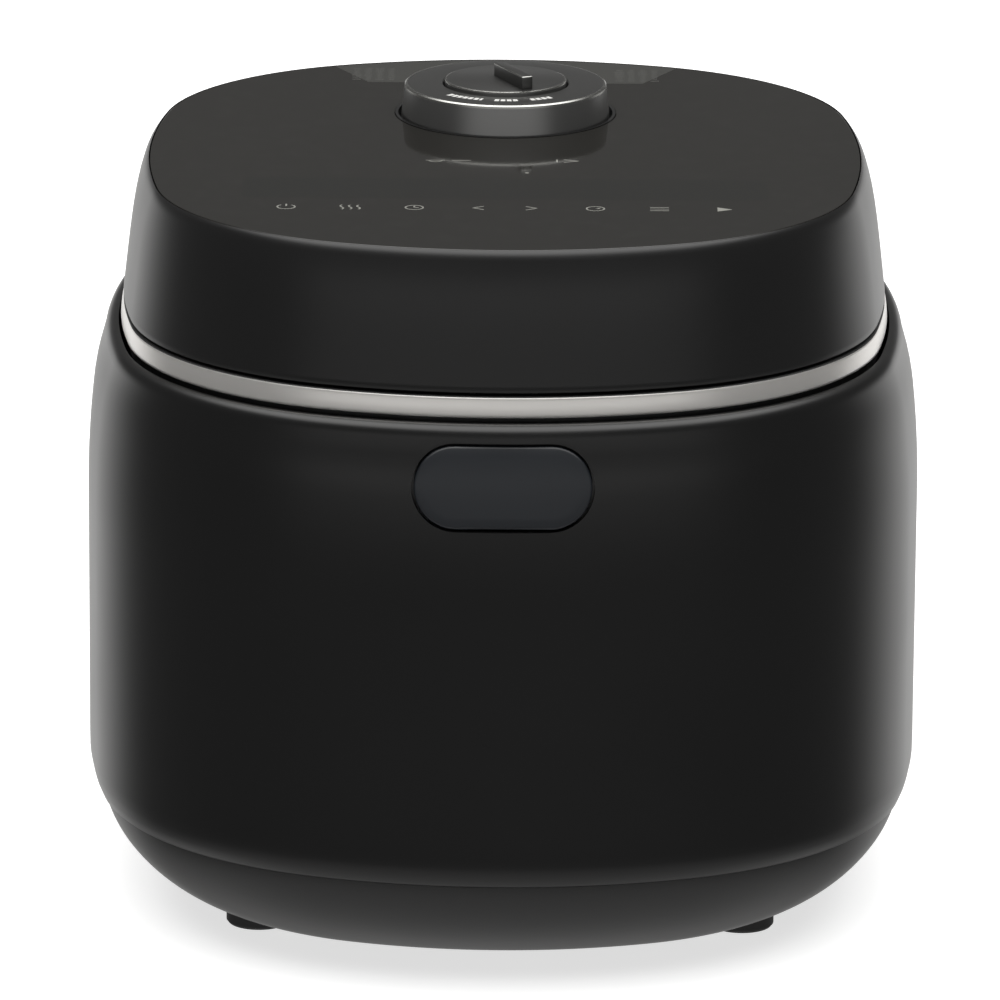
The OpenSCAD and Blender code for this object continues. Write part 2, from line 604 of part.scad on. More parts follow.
// --- lid covers ---
lean_straight = 0.73;
lean_power = 5;
function lid_in_at(u) = lid_in + lid_lean * (lean_straight * u + (1 - lean_straight) * pow(u, lean_power));
lid_u = [for (k = [0 : 5]) 1 - k / 5];
lid_in_u = [for (k = [0 : 5]) k / 5];
lid_foot = lid_z - lid_drop;
module lid_shell() color("#1d1d1d") place() difference() {
    union() {
        ring_loft(concat(
            [[panel_in, lid_top - 0.2], [panel_in - 1.3, lid_top - 0.5]],
            [for (u = lid_u) [lid_in_at(u), lid_foot + (lid_h + lid_drop - 2.6) * u]],
            [for (u = lid_in_u) [lid_in_at(u) + lid_wall, lid_foot + (lid_h + lid_drop - 5.5) * u]],
            [[panel_in + 8, lid_top - 5.5], [panel_in + 8, lid_top - panel_t - 0.2],
                [panel_in, lid_top - panel_t - 0.2]]));
        for (s = [-1, 1]) bar_x(barrel_r, s > 0 ? knuckle_in : -knuckle_out,
            s > 0 ? knuckle_out : -knuckle_in, hinge_y, hinge_z);
        intersection() {
            stack_loft([[lid_in + 2, lid_z + 20], [lid_in + 0.6, lid_z]]);
            for (s = [-1, 1]) box(s > 0 ? knuckle_in : -knuckle_out, s > 0 ? knuckle_out : -knuckle_in,
                hinge_y, half_d, hinge_z, lid_z + 20);
        }
    }
    bar_x(pin_r + fit, -half_w, half_w, hinge_y, hinge_z);
    for (s = [-1, 1]) translate([s * (ear_x - 4.75), 0, 0]) {
        bar_x(barrel_r + 0.8, -5.2, 5.2, hinge_y, hinge_z);
        box(-5.2, 5.2, hinge_y, half_d, lid_z - 1, hinge_z + barrel_r);
    }
}
module lid_cover() color("#181818") place() difference() {
    stack_loft([[lid_in + lid_wall + 0.5, lid_z + 2], [lid_in + lid_wall + 0.5, lid_z]]);
    rod(hook_out + 2, lid_z - 1, lid_z + 3);
    box(-ear_x - 3, ear_x + 3, hinge_y - barrel_r - 2, half_d, lid_z - 1, lid_z + 3);
    box(-12.5, 12.5, catch_y - 1.7, catch_y + 1.8, lid_z - 1, lid_z + 3);
}
// The lid's screws stand on a circle inside the inner lid's raised edge
lid_post = sqrt(0.5) * (pot_r - 5.5);
shaft_r = 12;
stem_hole_r = 8;
module lid_frame() color("#262626") place() difference() {
    union() {
        stack_loft([[lid_in + lid_wall + 4.2, frame_z + frame_h], [lid_in + lid_wall + 4.2, frame_z]]);
        at_knob() rod(shaft_r + 4, frame_z, frame_z + 12);
        four(lid_post, lid_post) rod(5, plate_top, frame_z + 1);
    }
    at_knob() rod(shaft_r + fit, frame_z - 1, frame_z + 13);
    four(lid_post, lid_post) rod(screw_r, plate_z, frame_z);
    box(-ear_x - 3, ear_x + 3, hinge_y - barrel_r - 2, half_d, frame_z - 1, frame_z + frame_h + 1);
    for (s = [-1, 1]) box(s * 60 - 22, s * 60 + 22, -60, 10, frame_z - 1, frame_z + frame_h + 1);
}
bezel_r = knob_r + 2;
module top_panel() color("#303030") place() difference() {
    stack_loft([[panel_in + gap, lid_top], [panel_in + gap, lid_top - panel_t]]);
    at_knob() rod(bezel_r + 0.1, lid_top - panel_t - 1, lid_top + 1);
}
module knob_bezel() color("#1a1a1a") place() at_knob() rotate_extrude() polygon([
    [shaft_r + 0.6, knob_z - 2.2], [bezel_r, knob_z - 2.2], [bezel_r, lid_top + 0.2],
    [bezel_r - 1.1, lid_top + 0.2], [bezel_r - 1.1, knob_z - 0.6], [shaft_r + 0.6, knob_z - 0.6]]);

// --- knob, dial and valve ---
module lock_knob() color("#2c2c2c") place() at_knob() rotate_extrude() polygon([
    [stem_hole_r + fit, lever_z + 3], [shaft_r, lever_z + 3], [shaft_r, dial_z - 3.5],
    [knob_r - 4, dial_z - 3.5], [knob_r - 2.6, knob_z], [knob_r, knob_z], [knob_r - 1.3, knob_top - 0.8],
    [knob_r - 2.1, knob_top], [dial_r + 0.6, knob_top], [dial_r + 0.6, dial_z - 0.3],
    [stem_hole_r + fit, dial_z - 0.3]]);
slot_r = hook_r + 1;
lever_len = slot_r - knob_y;
module lock_lever() color("#8f9194") place() at_knob() {
    difference() {
        union() {
            rod(shaft_r, lever_z, lever_z + 3);
            box(-4, 4, 0, lever_len, lever_z, lever_z + 3);
            translate([0, lever_len, 0]) rod(4, lever_z, lever_z + 3);
        }
        rod(stem_hole_r + 0.5, lever_z - 1, lever_z + 4);
    }
    translate([0, lever_len, 0]) rod(2.3, ring_flange_z + 0.2, lever_z + 0.5);
}
module valve_dial() color("#343434") place() at_knob() {
    difference() {
        union() {
            rotate_extrude() polygon([[0, dial_z], [dial_r, dial_z], [dial_r, knob_top + dial_rise - 0.5],
                [dial_r - 0.5, knob_top + dial_rise], [0, knob_top + dial_rise]]);
            rod(stem_hole_r, frame_z + 6, dial_z + 0.5);
            rotate(grip_a) box(-grip_w / 2, grip_w / 2, -dial_r + 2.5, 5, knob_top, knob_top + dial_rise + grip_h);
        }
        rod(6.4, frame_z + 5, frame_z + 16);
    }
}
module pressure_valve() color("#b4b6b8") place() at_knob() difference() {
    rod(5.6, seat_top + 0.2, seat_top + 8);
    translate([0, 0, seat_top - 0.1]) cylinder(r1 = 2.6, r2 = 0.8, h = 3);
}
module valve_seat() color("#a4a6a8") place() at_knob() difference() {
    union() {
        rod(4, inner_z - 1.5, seat_top);
        rod(8, plate_top, plate_top + 1.6);
    }
    rod(1.5, inner_z - 2, seat_top + 1);
}

// --- lock ring and pressure plate ---
ring_flange_h = 2.5;
hook_w = 18;
module lock_ring() color("#aeb0b2") place() difference() {
    union() {
        tube(hook_r - 8.5, hook_out - 0.6, ring_flange_z, ring_flange_z + ring_flange_h);
        for (a = [0 : 60 : 300]) rotate(a - hook_w / 2) rotate_extrude(angle = hook_w)
            polygon([[hook_r, hook_z], [hook_out, hook_z], [hook_out, ring_flange_z + 1],
                [hook_wall_r, ring_flange_z + 1], [hook_wall_r, hook_z + hook_h], [hook_r, hook_z + hook_h]]);
    }
    translate([0, slot_r, 0]) {
        rod(2.9, ring_flange_z - 1, ring_flange_z + 4);
        box(-2.6, 2.6, -12, 0, ring_flange_z - 1, ring_flange_z + 4);
    }
}
plate_r = hook_wall_r - 3;
float_x = -38;
float_y = 35;
module pressure_plate() color("#b9bbbd") place() difference() {
    rod(plate_r, plate_z, plate_top);
    at_knob() rod(4.1, plate_z - 1, plate_top + 1);
    translate([float_x, float_y, 0]) rod(3, plate_z - 1, plate_top + 1);
    four(lid_post, lid_post) rod(screw_r + 0.3, plate_z - 1, plate_top + 1);
    rod(4.1, plate_z - 1, plate_top + 1);
}
inner_h = 1.4;
gasket_r = rim_r - 0.8;
module inner_lid() color("#c3c5c7") place() difference() {
    rotate_extrude() polygon([[0, inner_z], [pot_r - 2, inner_z], [pot_r, inner_z + 2.4],
        [gasket_r + 1, inner_z + 2.4], [gasket_r + 1, inner_z + 2.4 + inner_h], [pot_r - 1, inner_z + 2.4 + inner_h],
        [pot_r - 3, inner_z + inner_h], [0, inner_z + inner_h]]);
    at_knob() rod(4.6, inner_z - 1, inner_z + 4);
    translate([float_x, float_y, 0]) rod(2 + fit, inner_z - 1, inner_z + 4);
    rod(6.1, inner_z - 1, inner_z + 4);
}
module lid_gasket() color("#d9d9d4") place() rotate_extrude() polygon([
    [pot_r + 1, rim_z + gap], [gasket_r, rim_z + gap], [gasket_r, inner_z + 2.1],
    [pot_r + 1.5, inner_z + 2.1], [pot_r + 1.5, inner_z + 0.9], [pot_r + 5, inner_z + 0.9],
    [pot_r + 5, rim_z + 1.5], [pot_r + 1, rim_z + 1.5]]);
module float_valve() color("#b43c34") place() translate([float_x, float_y, 0]) {
    rod(2, inner_z - 1.5, frame_z - 6);
    rod(3.6, inner_z - 5.5, inner_z - 4.2);
    rod(2, inner_z - 4.3, inner_z - 1.4);
}
module filter_cap() color("#b9bbbd") place() at_knob() {
    tube(9, 10.2, inner_z - 7, inner_z - 0.02);
    difference() {
        rod(10.2, inner_z - 8.2, inner_z - 7);
        for (a = [0 : 60 : 300]) rotate(a) translate([5.5, 0, 0]) rod(1.3, inner_z - 9, inner_z - 6);
    }
}
module lid_stud() color("#9b9ea1") place() {
    rod(4, inner_z - 5, plate_top + 1.5);
    rod(6.5, plate_top, plate_top + 1.6);
    rod(5, inner_z - 6.6, inner_z - 5);
}
module lid_grommet() color("#2a2a2a") place() {
    tube(4.05, 6, inner_z - 0.5, inner_z + inner_h + 0.5);
    tube(4.05, 9, inner_z - 2.6, inner_z - 0.02);
    tube(4.05, 8, inner_z + inner_h + 0.02, inner_z + inner_h + 1.6);
}

// --- lid electronics ---
board_y = -57;
module control_board() color("#1f5a35") place() {
    box(-92, 92, board_y - 24, board_y + 24, board_z, board_z + board_t);
    box(-80, -62, board_y - 6, board_y + 8, board_z + board_t, board_z + 4);
    box(62, 84, board_y - 10, board_y - 2, board_z + board_t, board_z + 6);
    for (s = [-1, 1]) for (t = [-1, 1]) translate([s * 88, board_y + t * 20, 0])
        rod(3, frame_z + frame_h, board_z);
}
module display_module() color("#0d0f12") place()
    box(-54, 54, board_y - 16, board_y + 12, board_z + board_t + 0.02, lid_top - panel_t - 1);
touch_y = -87;
function key_x(i) = key_middle / 2 + i * key_pitch;
touch_x = key_x(key_n - 1) + 7;
touch_z = board_z + 4;
module touch_board() color("#1f5a35") place()
    box(-touch_x, touch_x, touch_y - 8, touch_y + 8, touch_z, touch_z + board_t);
module touch_springs() color("#c2a45a") place() for (s = [-1, 1]) for (i = [0 : key_n - 1])
    translate([s * key_x(i), touch_y, 0]) tube(3.6, 4.6, touch_z + board_t + 0.02, lid_top - panel_t - 0.02);
module buzzer() color("#111111") place() translate([-71, board_y + 16, 0]) difference() {
    rod(6.5, board_z + board_t + 0.02, board_z + 8);
    rod(1.2, board_z + 6, board_z + 9);
}
module lid_screws() color("#8a8d90") place() four(lid_post, lid_post) {
    rod(3, plate_z - 1.8, plate_z);
    rod(screw_r, plate_z - 0.5, frame_z - 2);
}

base();
foot_pads();
base_screws();
body_shell();
rear_wall();
trim_ring();
upper_frame();
pot_housing();
lock_flange();
inner_pot();
heating_plate();
heater_coil();
sensor_cap();
sensor_spring();
pressure_switch();
power_board();
board_screws();
thermal_fuse();
power_inlet();
inlet_pins();
release_button();
button_spring();
latch_bracket();
latch_hook();
latch_pin();
latch_spring();
dew_bracket();
dew_collector();
hinge_pin();
hinge_spring();
lid_shell();
lid_cover();
lid_frame();
top_panel();
knob_bezel();
lock_knob();
lock_lever();
valve_dial();
pressure_valve();
valve_seat();
lock_ring();
pressure_plate();
inner_lid();
lid_gasket();
float_valve();
filter_cap();
lid_stud();
lid_grommet();
control_board();
display_module();
touch_board();
touch_springs();
buzzer();
lid_catch();
lid_screws();
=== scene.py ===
"""Looks of an electric pressure cooker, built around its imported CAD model.

The smooth covers (body wall, base, trim ring, lid, panel, knob, dial, button and collector) are made
again at a finer step than the CAD solids; every other CAD node keeps its shape and gets a finish.
"""

import logging
import math
from dataclasses import dataclass
from enum import Enum
from typing import Sequence

import bmesh
import bpy
import numpy as np
from mathutils import Matrix, Vector


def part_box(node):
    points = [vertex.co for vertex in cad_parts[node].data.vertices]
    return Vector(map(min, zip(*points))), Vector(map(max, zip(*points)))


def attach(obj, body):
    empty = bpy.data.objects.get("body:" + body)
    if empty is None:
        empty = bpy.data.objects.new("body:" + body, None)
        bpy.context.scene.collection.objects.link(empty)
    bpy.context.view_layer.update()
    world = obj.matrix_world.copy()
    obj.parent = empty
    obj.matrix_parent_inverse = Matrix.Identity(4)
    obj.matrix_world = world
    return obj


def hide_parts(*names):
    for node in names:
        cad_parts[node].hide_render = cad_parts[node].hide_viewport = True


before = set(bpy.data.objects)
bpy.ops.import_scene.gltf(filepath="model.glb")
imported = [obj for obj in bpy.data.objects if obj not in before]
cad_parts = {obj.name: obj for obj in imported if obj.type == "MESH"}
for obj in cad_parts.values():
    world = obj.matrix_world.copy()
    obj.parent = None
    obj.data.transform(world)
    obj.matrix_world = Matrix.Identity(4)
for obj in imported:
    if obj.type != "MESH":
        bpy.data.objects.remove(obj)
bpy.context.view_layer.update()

MM = 0.001
log = logging.getLogger("cooker")

Ring = np.ndarray
Profile = list[tuple[float, float]]
Rgb = tuple[float, float, float]


# --- where things are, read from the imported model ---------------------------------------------


def low(node: str) -> Vector:
    """Lowest corner of a CAD node, in metres."""
    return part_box(node)[0]


def high(node: str) -> Vector:
    """Highest corner of a CAD node, in metres."""
    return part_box(node)[1]


class Body(str, Enum):
    """The CAD bodies that pieces ride on."""

    HOUSING = "body"
    LID = "lid"
    KNOB = "knob"
    DIAL = "dial"
    BUTTON = "button"
    COLLECTOR = "collector"


@dataclass(frozen=True)
class Outline:
    """The rounded plan shape: eight tangent arcs, which stay parallel at every inset.

    Args:
        half_w: half the width over the widest wall.
        half_d: half the depth over the widest wall.
        centre_y: where its middle lies, front to back.
    """

    half_w: float
    half_d: float
    centre_y: float
    side_extra: float = 256.5 * MM
    front_extra: float = 54.5 * MM
    corner_less: float = 31.5 * MM
    side_steps: int = 26
    corner_steps: int = 38
    front_steps: int = 34

    @classmethod
    def from_frame(cls) -> "Outline":
        """The outline of the body's wall at its widest."""
        front, back = low("body_shell").y, high("rear_wall").y
        return cls(high("body_shell").x, (back - front) / 2, (back + front) / 2)

    def _corner(self) -> tuple[float, float, float, float]:
        """Centre of a corner arc, and the angles at which it meets its neighbours."""
        side_r, front_r = self.half_w + self.side_extra, self.half_w + self.front_extra
        corner_r = self.half_w - self.corner_less
        side_cx, front_cy = self.half_w - side_r, self.half_d - front_r
        reach_s, reach_f = side_r - corner_r, front_r - corner_r
        span = math.hypot(side_cx, front_cy)
        foot = (reach_s**2 - reach_f**2 + span**2) / (2 * span)
        rise = math.sqrt(reach_s**2 - foot**2)
        ux, uy = -side_cx / span, front_cy / span
        cx, cy = side_cx + foot * ux - rise * uy, foot * uy + rise * ux
        return cx, cy, math.atan2(cy, cx - side_cx), math.atan2(cy - front_cy, cx)

    def ring(self, inset: float, z: float) -> Ring:
        """The outline at an inset and a height.

        Args:
            inset: distance inwards from the widest wall.
            z: height.

        Returns:
            An array of points, counter-clockwise from above.
        """
        cx, cy, side_a, front_a = self._corner()
        side_r = self.half_w + self.side_extra - inset
        front_r = self.half_w + self.front_extra - inset
        corner_r = self.half_w - self.corner_less - inset
        side_cx, front_cy = -self.side_extra, self.half_d - self.half_w - self.front_extra
        half, whole = math.pi, 2 * math.pi
        arcs = [
            (side_cx, 0, side_r, -side_a, side_a, self.side_steps),
            (cx, cy, corner_r, side_a, front_a, self.corner_steps),
            (0, front_cy, front_r, front_a, half - front_a, self.front_steps),
            (-cx, cy, corner_r, half - front_a, half - side_a, self.corner_steps),
            (-side_cx, 0, side_r, half - side_a, half + side_a, self.side_steps),
            (-cx, -cy, corner_r, half + side_a, half + front_a, self.corner_steps),
            (0, -front_cy, front_r, half + front_a, whole - front_a, self.front_steps),
            (cx, -cy, corner_r, whole - front_a, whole - side_a, self.corner_steps),
        ]
        points = []
        for x0, y0, r, a0, a1, steps in arcs:
            a = np.linspace(a0, a1, steps, endpoint=False)
            points.append(np.stack([x0 + r * np.cos(a), y0 + r * np.sin(a) + self.centre_y], 1))
        flat = np.concatenate(points)
        return np.column_stack([flat, np.full(len(flat), z)])

    @property
    def count(self) -> int:
        """How many points a ring has."""
        return 2 * self.side_steps + 4 * self.corner_steps + 2 * self.front_steps


def circle(x: float, y: float, z: float, r: float, count: int) -> Ring:
    """A level circle of points, counter-clockwise from above."""
    a = np.linspace(0, 2 * math.pi, count, endpoint=False)
    return np.column_stack([x + r * np.cos(a), y + r * np.sin(a), np.full(count, z)])


# --- mesh work --------------------------------------------------------------------------------


def soften(points: Profile, radii: Sequence[float], steps: int = 5) -> Profile:
    """Rounds the corners of a closed profile.

    Args:
        points: corners of the profile.
        radii: one radius per corner, 0 for a corner that stays.
        steps: pieces per rounded corner.

    Returns:
        The profile with its corners rounded.
    """
    out: Profile = []
    total = len(points)
    for i, (here, radius) in enumerate(zip(points, radii)):
        p, a, b = (Vector(q) for q in (here, points[i - 1], points[(i + 1) % total]))
        to_a, to_b = (a - p), (b - p)
        if radius <= 0 or min(to_a.length, to_b.length) < 1e-7:
            out.append(here)
            continue
        reach = min(radius / math.tan(max(to_a.angle(to_b), 0.02) / 2), to_a.length * 0.49,
                    to_b.length * 0.49)
        start, end = p + to_a.normalized() * reach, p + to_b.normalized() * reach
        for k in range(steps + 1):
            t = k / steps
            q = start.lerp(p, t).lerp(p.lerp(end, t), t)
            out.append((q.x, q.y))
    return out


def bend(start: Sequence[float], knee: Sequence[float], end: Sequence[float], steps: int) -> Profile:
    """Points on a curve that leaves the start towards the knee and reaches the end from it.

    Args:
        start: first point, (inset, height).
        knee: where the two end directions meet.
        end: last point.
        steps: how many points.

    Returns:
        The points, with both ends.
    """
    return [tuple((1 - u) ** 2 * a + 2 * u * (1 - u) * b + u * u * c for a, b, c in zip(start, knee, end))
            for u in np.linspace(0, 1, steps)]


def make_object(name: str, verts: np.ndarray, faces: list, sharp: float = 35.0) -> bpy.types.Object:
    """A new object from points and faces, merged, closed outwards and smooth up to an angle.

    Args:
        name: the piece's name.
        verts: points in metres.
        faces: index lists.
        sharp: angle in degrees over which an edge stays sharp.

    Returns:
        The object, linked to the scene.
    """
    mesh = bpy.data.meshes.new(name)
    mesh.from_pydata([tuple(v) for v in verts], [], faces)
    work = bmesh.new()
    work.from_mesh(mesh)
    bmesh.ops.remove_doubles(work, verts=work.verts, dist=1e-7)
    bmesh.ops.dissolve_degenerate(work, edges=work.edges, dist=1e-8)
    bmesh.ops.recalc_face_normals(work, faces=work.faces)
    work.to_mesh(mesh)
    work.free()
    smooth(mesh, sharp)
    piece = bpy.data.objects.new(name, mesh)
    bpy.context.scene.collection.objects.link(piece)
    return piece


def smooth(mesh: bpy.types.Mesh, sharp: float) -> None:
    """Shades a mesh smooth and keeps the edges over an angle in degrees sharp."""
    mesh.shade_smooth()
    mesh.set_sharp_from_angle(angle=math.radians(sharp))


def loft(name: str, rings: Sequence[Ring], closed: bool = True, sharp: float = 35.0) -> bpy.types.Object:
    """Joins rings of equal count into a shell.

    Args:
        name: the piece's name.
        rings: the rings, in order along the profile.
        closed: whether the last ring joins the first; otherwise both ends are capped.
        sharp: angle in degrees over which an edge stays sharp.

    Returns:
        The object.
    """
    n, m = len(rings[0]), len(rings)
    verts = np.concatenate(rings)
    faces = []
    for i in range(m if closed else m - 1):
        a, b = i * n, ((i + 1) % m) * n
        faces += [(a + j, a + (j + 1) % n, b + (j + 1) % n, b + j) for j in range(n)]
    if not closed:
        for start in (0, (m - 1) * n):
            verts = np.concatenate([verts, [rings[start // n].mean(0)]])
            top = len(verts) - 1
            faces += [(start + j, start + (j + 1) % n, top) for j in range(n)]
    return make_object(name, verts, faces, sharp)


def revolve(name: str, profile: Profile, x: float, y: float, count: int = 160,
            sharp: float = 35.0) -> bpy.types.Object:
    """Turns a profile of (radius, height) about an upright axis, closing the poles."""
    rings = [circle(x, y, z, max(r, 1e-6), count) for r, z in profile]
    return loft(name, rings, closed=profile[0][0] > 1e-5, sharp=sharp)


def plain_mesh(piece: bpy.types.Object) -> None:
    """Turns a piece's live modifiers into its mesh and removes them."""
    graph = bpy.context.evaluated_depsgraph_get()
    baked = bpy.data.meshes.new_from_object(piece.evaluated_get(graph))
    piece.modifiers.clear()
    piece.data = baked


def cut(piece: bpy.types.Object, tools: Sequence[bpy.types.Object], sharp: float = 35.0) -> None:
    """Cuts tool shapes out of a piece and removes the tools."""
    for tool in tools:
        modifier = piece.modifiers.new("cut", "BOOLEAN")
        modifier.operation = "DIFFERENCE"
        modifier.solver = "EXACT"
        modifier.object = tool
    plain_mesh(piece)
    smooth(piece.data, sharp)
    for tool in tools:
        bpy.data.objects.remove(tool)


def join(name: str, pieces: Sequence[bpy.types.Object]) -> bpy.types.Object:
    """Puts several meshes into one object, material slots and all."""
    work = bmesh.new()
    materials: list = []
    for piece in pieces:
        first = len(work.faces)
        work.from_mesh(piece.data)
        work.faces.ensure_lookup_table()
        shift = len(materials)
        for face in work.faces[first:]:
            face.material_index += shift
        materials += list(piece.data.materials)
    mesh = bpy.data.meshes.new(name)
    work.to_mesh(mesh)
    work.free()
    for material in materials:
        mesh.materials.append(material)
    for piece in pieces:
        bpy.data.objects.remove(piece)
    joined = bpy.data.objects.new(name, mesh)
    bpy.context.scene.collection.objects.link(joined)
    return joined


def block(name: str, corner_a: Sequence[float], corner_b: Sequence[float], bevel: float = 0.0,
          segments: int = 3) -> bpy.types.Object:
    """A box between two corners, with its edges rounded."""
    work = bmesh.new()
    bmesh.ops.create_cube(work, size=1.0)
    a, b = Vector(corner_a), Vector(corner_b)
    for v in work.verts:
        v.co = Vector(a[i] if v.co[i] < 0 else b[i] for i in range(3))
    if bevel > 0:
        bmesh.ops.bevel(work, geom=list(work.edges), offset=bevel, segments=segments,
                        affect="EDGES", profile=0.5)
    bmesh.ops.recalc_face_normals(work, faces=work.faces)
    mesh = bpy.data.meshes.new(name)
    work.to_mesh(mesh)
    work.free()
    smooth(mesh, 35.0)
    piece = bpy.data.objects.new(name, mesh)
    bpy.context.scene.collection.objects.link(piece)
    return piece


def pill_ring(width: float, height: float, y: float, z: float, count: int = 40) -> Ring:
    """A stadium outline in the upright plane at y, as points around its middle."""
    r = height / 2
    half = count // 2
    right = np.linspace(-math.pi / 2, math.pi / 2, half)
    left = right + math.pi
    xs = np.concatenate([width / 2 - r + r * np.cos(right), -width / 2 + r + r * np.cos(left)])
    zs = np.concatenate([r * np.sin(right), r * np.sin(left)]) + z
    return np.column_stack([xs, np.full(len(xs), y), zs])


# --- finishes ---------------------------------------------------------------------------------


def add_socket(tree: bpy.types.NodeTree, name: str, kind: str, out: bool = False,
               value: float | None = None) -> None:
    """Adds one named socket to a node group."""
    side = "OUTPUT" if out else "INPUT"
    socket = tree.interface.new_socket(name, in_out=side, socket_type="NodeSocket" + kind)
    if value is not None:
        socket.default_value = value


class Wiring:
    """Short forms for building a node tree."""

    def __init__(self, tree: bpy.types.NodeTree) -> None:
        """Keeps the tree that nodes go into."""
        self.tree = tree

    def node(self, kind: str, inputs: dict | None = None, **settings) -> bpy.types.Node:
        """A new node, with its settings and its inputs set or linked.

        Args:
            kind: the node's type name.
            inputs: socket name or index to a value or to another node's output.
            **settings: attributes of the node.

        Returns:
            The node.
        """
        made = self.tree.nodes.new(kind)
        for key, value in settings.items():
            setattr(made, key, value)
        for key, value in (inputs or {}).items():
            if isinstance(value, bpy.types.NodeSocket):
                self.tree.links.new(value, made.inputs[key])
            else:
                made.inputs[key].default_value = value
        return made

    def math(self, operation: str, a, b=0.0, clamp: bool = False) -> bpy.types.NodeSocket:
        """The output of a Math node."""
        return self.node("ShaderNodeMath", {0: a, 1: b}, operation=operation,
                         use_clamp=clamp).outputs[0]

    def ramp(self, value, low_in: float, high_in: float, low_out: float = 0.0,
             high_out: float = 1.0) -> bpy.types.NodeSocket:
        """The output of a smooth Map Range node."""
        return self.node("ShaderNodeMapRange", {"Value": value, "From Min": low_in,
                         "From Max": high_in, "To Min": low_out, "To Max": high_out},
                         interpolation_type="SMOOTHSTEP").outputs[0]


def grain_group() -> bpy.types.NodeTree:
    """Fine grain of a painted or moulded skin: a height, and a small change of roughness."""
    name = "fine_grain"
    if name in bpy.data.node_groups:
        return bpy.data.node_groups[name]
    tree = bpy.data.node_groups.new(name, "ShaderNodeTree")
    for socket, value in (("Scale", 900.0), ("Roughness", 0.3), ("Spread", 0.04)):
        add_socket(tree, socket, "Float", value=value)
    add_socket(tree, "Height", "Float", out=True)
    add_socket(tree, "Roughness", "Float", out=True)
    w = Wiring(tree)
    given = w.node("NodeGroupInput").outputs
    where = w.node("ShaderNodeTexCoord").outputs["Object"]
    fine = w.node("ShaderNodeTexNoise", {"Vector": where, "Scale": given["Scale"], "Detail": 3.0})
    broad = w.node("ShaderNodeTexNoise", {"Vector": where, "Scale": 14.0, "Detail": 4.0})
    change = w.math("MULTIPLY", w.math("SUBTRACT", broad.outputs[0], 0.5), given["Spread"])
    rough = w.math("ADD", given["Roughness"], w.math("MULTIPLY", change, 2.0), clamp=True)
    w.node("NodeGroupOutput", {"Height": fine.outputs[0], "Roughness": rough})
    return tree


def dust_group() -> bpy.types.NodeTree:
    """A trace of dust that lies on faces looking up: mixes a colour towards grey."""
    name = "settled_dust"
    if name in bpy.data.node_groups:
        return bpy.data.node_groups[name]
    tree = bpy.data.node_groups.new(name, "ShaderNodeTree")
    add_socket(tree, "Colour", "Color")
    add_socket(tree, "Amount", "Float", value=0.02)
    add_socket(tree, "Colour", "Color", out=True)
    w = Wiring(tree)
    given = w.node("NodeGroupInput").outputs
    where = w.node("ShaderNodeTexCoord").outputs["Object"]
    upward = w.node("ShaderNodeSeparateXYZ", {0: w.node("ShaderNodeNewGeometry").outputs["Normal"]})
    specks = w.node("ShaderNodeTexNoise", {"Vector": where, "Scale": 160.0, "Detail": 5.0})
    lying = w.math("MULTIPLY", w.ramp(upward.outputs["Z"], 0.3, 1.0),
                   w.ramp(specks.outputs[0], 0.45, 0.75))
    amount = w.math("MULTIPLY", lying, given["Amount"])
    blend = w.node("ShaderNodeMixRGB", {"Fac": amount, "Color1": given["Colour"],
                   "Color2": (0.5, 0.49, 0.47, 1.0)})
    w.node("NodeGroupOutput", {"Colour": blend.outputs[0]})
    return tree


